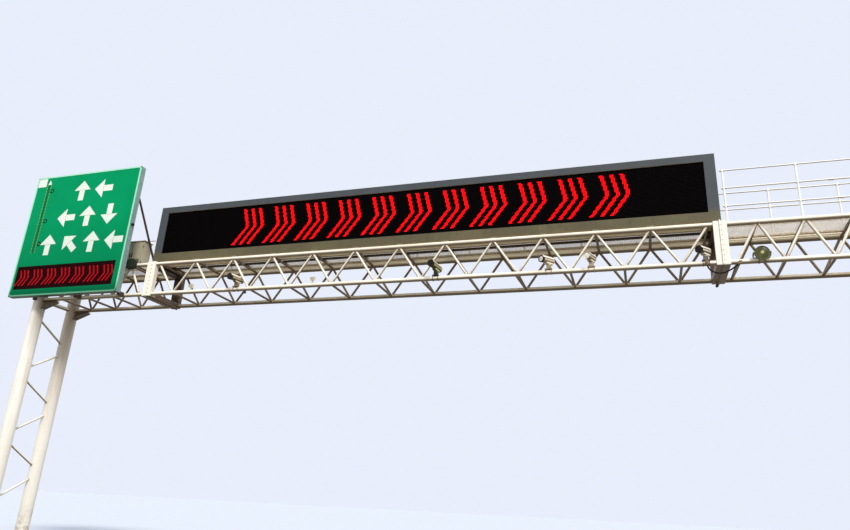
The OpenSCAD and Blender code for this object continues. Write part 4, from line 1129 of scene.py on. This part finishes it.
SCREEN_MESSAGE = {"half_height": 0.545, "first": 6.40, "group_pitch": 0.965, "groups": 11,
                  "pitch": 0.235, "stroke": 0.095}
diodes("screen_diodes", screen_low, screen_high, LED_PITCH, LED_LIT, LED_OFF, SCREEN_MESSAGE)

# %% [markdown]
# The louvres are blades a millimetre thick. One stands above each row of diodes and reaches a little further
# out than the domes, to shade them. A module is half a metre wide, and its seam shows as a low rib.

# %% Louvres and module seams
MODULE_W = 0.500
LOUVRE_T = 0.001
LOUVRE_OUT = 0.009
SEAM_W = 0.002
SEAM_OUT = 0.002


def screen_ribs():
    """A thin louvre above every row of diodes, and a low rib at every module seam."""
    rows = fitting(screen_low.z, screen_high.z, LED_PITCH)
    z = (screen_low.z + screen_high.z) / 2 + (np.arange(rows + 1) - rows / 2) * LED_PITCH
    z = np.clip(z, screen_low.z + LOUVRE_T, screen_high.z - 2 * LOUVRE_T)
    x = np.arange(screen_low.x + MODULE_W, screen_high.x, MODULE_W)
    front = screen_low.y
    louvres = boxes(points_at(screen_low.x, front - LOUVRE_OUT, z),
                    points_at(screen_high.x, front + LOUVRE_T, z + LOUVRE_T))
    seams = boxes(points_at(x, front - SEAM_OUT, screen_low.z),
                  points_at(x + SEAM_W, front + LOUVRE_T, screen_high.z))
    return [louvres, seams]


add_piece("screen_louvres", screen_ribs(), SCREEN_BLACK)

# %% [markdown]
# The frame round the screen is made of folded lengths that are riveted together. Where two lengths meet, a
# dark strip four millimetres wide stands for the seam, and a row of low rivets holds the frame's edge. At
# the back, each service door hangs on two hinges and shuts with the handle that the construction gives it.

# %% Frame strips, rivets and hinges
STRIP_PITCH = 2.46
STRIP_W = 0.004
STRIP_INSET = 0.004
RIVET_PITCH = 0.205
RIVET_EDGE = 0.030
RIVET_SUNK = 0.0011
RIVETS_FROM_FOOT = 0.20
RIVETS_FROM_TOP = 0.10
DOOR_COUNT = 12
DOOR_GAP = 0.060
HINGE_BESIDE = 0.012
HINGE_IN = 0.030
HINGE_FROM_FOOT = 0.15
HINGE_FROM_TOP = 0.30

frame_low, frame_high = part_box("board_frame")


def rivet_rows():
    """Rivets in rows along the top and bottom of the frame's front and up its sides. Their heads end a
    tenth of a millimetre under its face, so they do not show."""
    x = np.arange(frame_low.x + 2 * RIVET_EDGE, frame_high.x - RIVET_EDGE, RIVET_PITCH)
    z = np.arange(frame_low.z + RIVETS_FROM_FOOT, frame_high.z - RIVETS_FROM_TOP, RIVET_PITCH)
    rows = (frame_low.z + RIVET_EDGE, screen_low.z - RIVET_EDGE, screen_high.z + RIVET_EDGE,
            frame_high.z - RIVET_EDGE)
    sides = (frame_low.x + RIVET_EDGE, frame_high.x - RIVET_EDGE)
    y = frame_low.y + RIVET_SUNK
    spots = [(a, y, b) for b in rows for a in x] + [(a, y, b) for a in sides for b in z]
    dome = turned([(0.008, -0.001), (0.0075, 0.0005), (0.0045, 0.0010)], 8)
    return copies(dome, spots, -Y_AXIS)


def seam_strips():
    """Strips over the joints of the frame's top and bottom lengths, a third of a millimetre proud."""
    x = np.arange(frame_low.x + STRIP_PITCH, frame_high.x - 0.5, STRIP_PITCH)
    bands = ((frame_low.z, screen_low.z), (screen_high.z, frame_high.z))
    lows = [(a - STRIP_W / 2, frame_low.y - 0.0003, low + STRIP_INSET) for a in x for low, _ in bands]
    highs = [(a + STRIP_W / 2, frame_low.y + 0.0004, high - STRIP_INSET) for a in x for _, high in bands]
    return boxes(lows, highs)


def door_hinges():
    """Two hinge barrels on each door's side, upright turned pins."""
    width = (screen_high.x - screen_low.x - (DOOR_COUNT - 1) * DOOR_GAP) / DOOR_COUNT
    x = screen_low.x + np.arange(DOOR_COUNT) * (width + DOOR_GAP) + width + HINGE_BESIDE
    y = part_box("board_housing")[1].y - HINGE_IN
    barrel = turned([(0.008, 0.0), (0.010, 0.002), (0.010, 0.078), (0.008, 0.080)], 12)
    heights = (screen_low.z + HINGE_FROM_FOOT, screen_high.z - HINGE_FROM_TOP)
    spots = [(a, y, b) for a in x for b in heights]
    return copies(barrel, spots)


add_piece("board_rivets", [rivet_rows()], BOARD_COAT)
add_piece("board_seams", [seam_strips()], DARK_STEEL)
add_piece("door_hinges", [door_hinges()], ZINC)

# %% [markdown]
# ## The direction sign
# The sign is aluminium sheet under prismatic film. Its edge is a pale border with rounded corners. The
# graphics are cut from film: plain white arrows where place names would stand, a bare white square, and a
# route strip with an arrow tip and three stops. Film is thinner than a millimetre, but it is a piece of
# its own, so each shape is a flat plate that stands half a millimetre off the face or off the film below.

# %% Plates cut from film
FILM_T = 0.0005
RAISED_EDGE = 0.008

sign_low, sign_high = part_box("sign_face")
face_y = sign_low.y + RAISED_EDGE
display_low, display_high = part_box("sign_display")


def film(outlines, layer=1):
    """Flat plates on the sign's face, as thick as their layer's number of films. An outline is a convex
    loop of (x, z) points, and one whose area comes out below zero is turned round."""
    surfaces = []
    for outline in outlines:
        x, z = np.array(outline, float).T
        if (x * np.roll(z, -1) - np.roll(x, -1) * z).sum() < 0:
            x, z = x[::-1], z[::-1]
        here = np.arange(len(x))
        ahead = np.roll(here, -1)
        points = np.concatenate([points_at(x, face_y - layer * FILM_T, z), points_at(x, face_y, z)])
        sides = np.column_stack([here, len(x) + here, len(x) + ahead, ahead])
        surfaces.append((points, [here[None], len(x) + here[::-1][None], sides]))
    return surfaces


def arrow(x, z, size, degrees):
    """A plain arrow in a square cell: a head and a shaft, turned about the cell's middle."""
    head = np.array([[-0.46, 0.02], [0.46, 0.02], [0.0, 0.50]])
    shaft = np.array([[-0.15, -0.50], [0.15, -0.50], [0.15, 0.03], [-0.15, 0.03]])
    a = math.radians(degrees)
    turn = np.array([[math.cos(a), math.sin(a)], [-math.sin(a), math.cos(a)]])
    return [loop @ turn * size + (x, z) for loop in (head, shaft)]


def disc(x, z, radius, sides=28):
    """A round plate: x = x0 + r cos t, z = z0 + r sin t."""
    t = np.linspace(0, 2 * np.pi, sides, endpoint=False)
    return np.column_stack([x + radius * np.cos(t), z + radius * np.sin(t)])


# Each row of arrows: where it starts and ends, its height, its size, and the arrows' turns in degrees.
ARROW_ROWS = [
    (0.73, 2.33, 9.93, 0.80, (0, 90)),
    (0.36, 2.73, 9.065, 0.80, (90, 0, 180)),
    (-0.09, 3.12, 8.225, 0.82, (0, 45, 0, 90)),
]
MARGIN = 0.07
ARROW_SHARE = 0.82


def arrow_outlines():
    """Arrows spread evenly along each row, kept clear of the sign's border."""
    outlines = []
    for start, end, z, size, turns in ARROW_ROWS:
        cell = (min(end, sign_high.x - MARGIN) - start) / len(turns)
        for i, degrees in enumerate(turns):
            outlines += arrow(start + (i + 0.5) * cell, z, min(size, cell) * ARROW_SHARE, degrees)
    return outlines


ROUTE_X = -0.21
ROUTE_LOW = 8.00
ROUTE_HIGH = 10.24
ROUTE_W = 0.13
LINE_W = 0.016
DASH = 0.070
DASH_PITCH = 0.100
TIP_HALF = 0.07
TIP_GAP = 0.02
TIP_LONG = 0.15
RING_R = 0.075
MIDDLE_R = 0.042
# Each stop: the X of its ring's middle and its height.
STOPS = ((-0.06, 10.03), (-0.03, 9.02), (-0.05, 8.28))


def upright(x0, z0, x1, z1):
    """An upright rectangle as an outline."""
    return [(x0, z0), (x1, z0), (x1, z1), (x0, z1)]


def dashes(x):
    """A line of short dashes up the route strip, as real ones are printed."""
    return [upright(x - LINE_W / 2, z, x + LINE_W / 2, z + DASH)
            for z in np.arange(ROUTE_LOW, ROUTE_HIGH, DASH_PITCH)]


left = ROUTE_X - ROUTE_W / 2
right = ROUTE_X + ROUTE_W / 2
foot = ROUTE_HIGH + TIP_GAP
square = upright(-0.66, 10.20, -0.34, 10.50)
tip = [(ROUTE_X - TIP_HALF, foot), (ROUTE_X + TIP_HALF, foot), (ROUTE_X, foot + TIP_LONG)]
links = [upright(right, z - LINE_W / 2, x, z + LINE_W / 2) for x, z in STOPS]
rings = [disc(x, z, RING_R) for x, z in STOPS]
middles = [disc(x, z, MIDDLE_R) for x, z in STOPS]
for name, outlines, layer, sheeting in (
        ("sign_white_film", arrow_outlines() + [square, tip], 1, SIGN_WHITE),
        ("sign_route_film", [upright(left, ROUTE_LOW, right, ROUTE_HIGH)], 1, SIGN_DEEP),
        ("sign_line_film", dashes(left) + dashes(right) + links, 2, SIGN_LIME),
        ("sign_stop_rings", rings, 3, SIGN_INK),
        ("sign_stop_middles", middles, 4, SIGN_GREEN)):
    add_piece(name, film(outlines, layer), sheeting)

# %% [markdown]
# The ground is a plate with an opening for the small display, and the pale border round it is as high as
# the sheet's raised edge. Its corners are round, so it is a band between two loops rather than a frame.

# %% The sign's ground and border
BORDER_W = 0.045
CORNER_R = 0.10
BORDER_SLOPE = 0.001
GROUND_INSET = 0.002


def rounded_loop(low, high, inset, radius, steps=8):
    """A rectangle with round corners as one loop: each corner is a quarter circle about its own centre."""
    loop = []
    for k, (cx, cz) in enumerate(((high.x, low.z), (high.x, high.z), (low.x, high.z), (low.x, low.z))):
        sx = 1 if cx == high.x else -1
        sz = 1 if cz == high.z else -1
        centre = np.array([cx - sx * (inset + radius), cz - sz * (inset + radius)])
        t = np.linspace(-np.pi / 2, 0, steps) + k * np.pi / 2
        loop.append(centre + radius * np.column_stack([np.cos(t), np.sin(t)]))
    return np.concatenate(loop)


def border():
    """The raised border: a band between an outer and an inner loop with round corners."""
    outer = rounded_loop(sign_low, sign_high, 0.0, CORNER_R)
    inner = rounded_loop(sign_low, sign_high, BORDER_W, CORNER_R - BORDER_W)
    rows = [(outer, sign_high.y), (outer, sign_low.y + BORDER_SLOPE), (inner, sign_low.y), (inner, face_y)]
    points = [points_at(loop[:, 0], y, loop[:, 1]) for loop, y in rows]
    return np.concatenate(points), [grid_faces(4, len(outer), closed=True)]


def ground():
    """The green ground: a plate with the display strip's opening, set inside the border."""
    outer = (sign_low.x + GROUND_INSET, sign_low.z + GROUND_INSET,
             sign_high.x - GROUND_INSET, sign_high.z - GROUND_INSET)
    hole = (display_low.x - SEAT, display_low.z - SEAT, display_high.x + SEAT, display_high.z + SEAT)
    return upright_frame(outer, hole, face_y, sign_high.y)


add_piece("sign_ground", [ground()], SIGN_GREEN, ["sign_face"])
add_piece("sign_border", [border()], SIGN_MINT)

# %% [markdown]
# The small display in the sign is the board's screen at half the size: finer diodes, shown dimmer.

# %% The sign's display strip
STRIP_LED_PITCH = 0.016
STRIP_MESSAGE = {"half_height": 0.245, "first": display_low.x + 0.06, "group_pitch": 0.505, "groups": 7,
                 "pitch": 0.135, "stroke": 0.048}
diodes("strip_diodes", display_low, display_high, STRIP_LED_PITCH, STRIP_LIT, STRIP_OFF_PAINTED_GLOW, STRIP_MESSAGE)

# %% [markdown]
# ## Cameras, lamp and cabinet
# Each camera looks through coated glass in a collar. The collar and the glass are turned shapes,
# stood at the housing's front by the camera's own turn and tilt. The lamp's face is pressed glass with
# round ridges, whose profile is a row of half waves. The cabinet's doors have handles and hinges.

# %% Camera glass and collars
CAMERA_R = 0.0825
CAMERA_RISE = 0.280
CAMERA_AHEAD = 0.055
# Each camera: its place in panels from the truss's first top node, its turns in degrees, and its length.
CAMERAS = ((2.18, 12, 0, 0.500), (6.83, 14, 5, 0.480), (9.1, 40, 0, 0.380), (9.9, 22, 0, 0.380),
           (11.91, 40, 0, 0.360))


def camera_turned(pan, tilt):
    """The turn that takes -Y to the camera's line of sight, to the left by pan and up by tilt."""
    p = math.radians(-pan)
    t = math.radians(-tilt)
    about_z = np.array([[math.cos(p), -math.sin(p), 0], [math.sin(p), math.cos(p), 0], [0, 0, 1]])
    about_x = np.array([[1, 0, 0], [0, math.cos(t), -math.sin(t)], [0, math.sin(t), math.cos(t)]])
    return about_z @ about_x


def camera_fronts():
    """The collars round all windows, and the domed glass and the lenses inside them."""
    fronts = []
    r = CAMERA_R
    collar = turned([(r - 0.004, -0.062), (r + 0.0008, -0.058), (r + 0.0008, 0.0006), (r - 0.008, 0.0006),
                     (r - 0.019, -0.009)], 40, ring=True)
    window = turned([(r - 0.018, -0.0098), (r - 0.020, -0.0085), (r - 0.045, -0.0075)], 40)
    lens = turned([(0.030, -0.0080), (0.030, -0.0055), (0.024, -0.0035), (0.014, -0.0025)], 28)
    sight = np.column_stack([[1, 0, 0], [0, 0, 1], [0, -1, 0]])
    for place, pan, tilt, length in CAMERAS:
        x = mid_tops[0] + place * (mid_tops[1] - mid_tops[0])
        turn = camera_turned(pan, tilt)
        front = np.array([x, 0, beam_z + CAMERA_RISE]) + turn @ [0, -CAMERA_AHEAD - length / 2, 0]
        fronts.append([copies(shape, front, turn=turn @ sight) for shape in (collar, window, lens)])
    return zip(*fronts)


# Two cameras have windows that catch the sun, and one of them has a cream collar.
PALE_COLLARS = (3,)
PALE_WINDOWS = (2, 3)

collars, glass, lenses = camera_fronts()
add_piece("camera_collars", [ring for i, ring in enumerate(collars) if i not in PALE_COLLARS], BLACK_SHELL)
add_piece("camera_pale_collars", [collars[i] for i in PALE_COLLARS], CREAM_CAMERA)
for name, surfaces in (("camera_windows", glass), ("camera_lenses", lenses)):
    add_piece(name, [surface for i, surface in enumerate(surfaces) if i not in PALE_WINDOWS], DARK_GLASS)
add_piece("camera_pale_windows", [surfaces[i] for i in PALE_WINDOWS for surfaces in (glass, lenses)],
          PALE_GLASS)

# %% [markdown]
# The lamp's glass is pressed, which leaves round ridges and a smooth boss in the middle. Years of dust have
# turned it olive, so it is a coat like the others and not a clear glass. The boss's pale yellow is a painted
# highlight.

# %% Lamp glass
LAMP_D = 0.300
LAMP_RISE = 0.120
LAMP_X = 0.605
RIDGES = 5
RIDGE_HIGH = 0.003
LENS_INSET = 0.021
LENS_DOME = 0.009
LENS_BACK = 0.0085
EYE_SHARE = 0.08
BOSS_R = 0.036


def lamp_front():
    """The lens and its boss. With s the radius as a share of the rim's, the lens stands at the ridge's
    height times |sin(pi RIDGES s)|, on a shallow dome that falls as 1 - s squared."""
    shares = np.linspace(EYE_SHARE, 1.0, RIDGES * 8)[::-1]
    r = (LAMP_D / 2 - LENS_INSET) * shares
    h = RIDGE_HIGH * np.abs(np.sin(shares * np.pi * RIDGES)) + LENS_DOME * (1 - shares ** 2)
    lens = turned(np.column_stack([r, h - LENS_BACK]), 48)
    boss = turned([(BOSS_R, -0.002), (BOSS_R, 0.004), (BOSS_R - 0.004, 0.0065), (0.010, 0.0072)], 32)
    low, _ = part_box("flash_lamp")
    place = (span - end_to - SEAT + LAMP_X, low.y, beam_z + LAMP_RISE)
    return copies(lens, place, -Y_AXIS), copies(boss, place, -Y_AXIS)


LAMP_GLASS = powder_coat("dusty_olive_pressed_glass", "#3d4119", "#5d602c", roughness=0.35, size=0.07,
                         streaks=0.1, below="#23240f")
# The boss's pale yellow is a painted highlight.
BOSS_PAINTED_HIGHLIGHT = powder_coat("pressed_glass_boss_with_painted_highlight", "#b9b674", "#8f8c4e", roughness=0.35, size=0.05,
                         streaks=0.1, below="#5d5b30")
lens, boss = lamp_front()
add_piece("lamp_lens", [lens], LAMP_GLASS)
add_piece("lamp_boss", [boss], BOSS_PAINTED_HIGHLIGHT)

# %% [markdown]
# The cabinet's two doors meet in the middle. Each has a swing handle beside that seam, two hinge barrels at
# its outer edge and a set of vent blades low down.

# %% Cabinet handles, hinges and vents
ROOF_TO_DOOR = 0.012
HANDLE_OUT = 0.012
HANDLE_EDGES = np.array([(-0.050, -0.026), (0.026, 0.050)])
HANDLE_HALF = 0.07
VENT_COUNT = 8
VENT_PITCH = 0.022
VENT_T = 0.006
VENT_RISE = 0.16
VENT_FROM_EDGE = 0.12
VENT_FROM_SEAM = 0.09
HINGE_FROM_EDGE = 0.040
LOW_HINGE = 0.18
HIGH_HINGE = 0.22
INTO_DOOR = 0.002

cabinet_low, cabinet_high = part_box("equipment_cabinet")


def cabinet_fittings():
    """Two swing handles, the vents as short level blades, and four hinge barrels."""
    front = cabinet_low.y + ROOF_TO_DOOR
    middle = (cabinet_low.x + cabinet_high.x) / 2
    z_mid = (cabinet_low.z + cabinet_high.z) / 2
    left, right = middle + HANDLE_EDGES.T
    handles = boxes(points_at(left, front - HANDLE_OUT, z_mid - HANDLE_HALF),
                    points_at(right, front + INTO_DOOR, z_mid + HANDLE_HALF))
    z = cabinet_low.z + VENT_RISE + np.arange(VENT_COUNT) * VENT_PITCH
    spans = ((cabinet_low.x + VENT_FROM_EDGE, middle - VENT_FROM_SEAM),
             (middle + VENT_FROM_SEAM, cabinet_high.x - VENT_FROM_EDGE))
    lows = [(a, front - VENT_T, b) for a, _ in spans for b in z]
    highs = [(a, front + INTO_DOOR, b + VENT_T) for _, a in spans for b in z]
    barrel = turned([(0.007, 0.0), (0.008, 0.002), (0.008, 0.068), (0.007, 0.070)], 12)
    sides = (cabinet_low.x + HINGE_FROM_EDGE, cabinet_high.x - HINGE_FROM_EDGE)
    heights = (cabinet_low.z + LOW_HINGE, cabinet_high.z - HIGH_HINGE)
    spots = [(a, front + 0.004, b) for a in sides for b in heights]
    return [handles, boxes(lows, highs), copies(barrel, spots)]


add_piece("cabinet_fittings", cabinet_fittings(), BLACK_SHELL)

# %% [markdown]
# A gantry collects small hardware over the years: plugs where old leads were led out of the chords, a knob
# that latches the sign's side, screws in the terminal box's lid. Each is a turned shape.

# %% Small hardware
CHORD_PLUG_X = 6.958
RING_PLUG_X = 18.657
SIGN_LATCH_Z = 8.68
SCREW_INSET = 0.030
SCREW_DOWN = 0.095
SCREW_DEEP = 0.011


def small_hardware():
    """Two threaded plugs under the chords and the latch on the sign's side."""
    plug = turned([(0.020, 0.0), (0.020, 0.020), (0.034, 0.024), (0.034, 0.060), (0.022, 0.070)], 16)
    plugs = [copies(plug, (CHORD_PLUG_X, 0.0, beam_z - CHORD_R - SEAT), -Z_AXIS),
             copies(plug, (RING_PLUG_X, rear_y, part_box("right_inner_frame")[0].z - SEAT), -Z_AXIS)]
    sheet_low, sheet_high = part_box("sign_box")
    depth = (sheet_low.y + sheet_high.y) / 2
    knob = turned([(0.045, 0.0), (0.045, 0.008), (0.024, 0.012), (0.024, 0.030), (0.038, 0.034),
                   (0.038, 0.050), (0.030, 0.056)], 20)
    return plugs + [copies(knob, (sheet_high.x + SEAT, depth, SIGN_LATCH_Z), X_AXIS)]


def lid_screws():
    """Four domed screws in the corners of the terminal box's lid. They end inside its thickness, so they do
    not show. The box stands on glands as high as the lead is thick."""
    low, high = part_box("terminal_box")
    screw = turned([(0.0065, -0.001), (0.0065, 0.0015), (0.0035, 0.003)], 12)
    spots = [(x, low.y + SCREW_DEEP, z) for x in (low.x + SCREW_INSET, high.x - SCREW_INSET)
             for z in (high.z - SCREW_DOWN, low.z + LEAD_D + SCREW_INSET)]
    return [copies(screw, spots, -Y_AXIS)]


add_piece("chord_plugs_and_latch", small_hardware(), BLACK_SHELL)
add_piece("terminal_box_screws", lid_screws(), ZINC)

# %% [markdown]
# ## The studio
# A pale floor at ground level takes the shadow. The light is one large soft sun from the driver's right
# and a sky that is bright above and dimmer below. Camera, mirror and glass rays see a plain pale sky.

# %% Floor, lights and sky
FLOOR_REACH = 160.0
FLOOR_PALE = "#d4d8de"
FLOOR_AS_ROAD = "#b0a797"
SUN_POWER = 2.3
SUN_WIDTH = math.radians(12)
SUN_TURNS = (math.radians(48), 0, math.radians(32))
SKY_PALE = "#e8eefb"
SKY_LOW = "#d4c9b2"
SKY_HIGH = "#e3ecfb"


def make_floor():
    """A flat floor. To the camera it is pale, and it throws back only the light that a road would."""
    finish, tree, shader = new_finish("pale_studio_floor", FLOOR_PALE, 0.9)
    path = add_node(tree, "ShaderNodeLightPath")
    tone = add_node(tree, "ShaderNodeMix", {"Factor": path.outputs["Is Camera Ray"],
                                            "A": linear(FLOOR_AS_ROAD), "B": linear(FLOOR_PALE)},
                    data_type="RGBA")
    tree.links.new(tone.outputs["Result"], shader.inputs["Base Color"])
    corners = np.array([[-1, -1, 0], [1, -1, 0], [1, 1, 0], [-1, 1, 0]]) * FLOOR_REACH
    mesh = put_mesh("studio_floor", [(corners + [span / 2, 0, -0.001], [np.array([[0, 1, 2, 3]])])])
    mesh.materials.append(finish)
    floor = bpy.data.objects.new("studio_floor", mesh)
    bpy.context.scene.collection.objects.link(floor)


def make_sun():
    """A soft sun from the driver's right, high and a little behind the camera."""
    data = bpy.data.lights.new("soft_sun", "SUN")
    data.energy = SUN_POWER
    data.angle = SUN_WIDTH
    data.color = (1.0, 0.97, 0.92)
    sun = bpy.data.objects.new("soft_sun", data)
    sun.rotation_euler = SUN_TURNS
    bpy.context.scene.collection.objects.link(sun)


def make_sky():
    """The world: pale to camera, glossy and glass rays, and a gradient by height to the rest."""
    world = bpy.data.worlds.new("pale_sky")
    bpy.context.scene.world = world
    world.use_nodes = True
    tree = world.node_tree
    background = tree.nodes["Background"]
    place = add_node(tree, "ShaderNodeTexCoord").outputs["Generated"]
    height = add_node(tree, "ShaderNodeSeparateXYZ", {"Vector": place}).outputs["Z"]
    rise = add_node(tree, "ShaderNodeMapRange", {"Value": height, "From Min": -0.1, "From Max": 0.6})
    lit = add_node(tree, "ShaderNodeMix", {"Factor": rise.outputs["Result"], "A": linear(SKY_LOW),
                                           "B": linear(SKY_HIGH)}, data_type="RGBA")
    path = add_node(tree, "ShaderNodeLightPath")
    seen = add_node(tree, "ShaderNodeMath", {0: path.outputs["Is Camera Ray"],
                                             1: path.outputs["Is Glossy Ray"]}, operation="MAXIMUM")
    seen = add_node(tree, "ShaderNodeMath", {0: seen.outputs["Value"],
                                             1: path.outputs["Is Transmission Ray"]}, operation="MAXIMUM")
    tone = add_node(tree, "ShaderNodeMix", {"Factor": seen.outputs["Value"], "A": lit.outputs["Result"],
                                            "B": linear(SKY_PALE)}, data_type="RGBA")
    tree.links.new(tone.outputs["Result"], background.inputs["Color"])
    background.inputs["Strength"].default_value = 1.0


make_floor()
make_sun()
make_sky()
bpy.context.scene.view_settings.view_transform = "Standard"
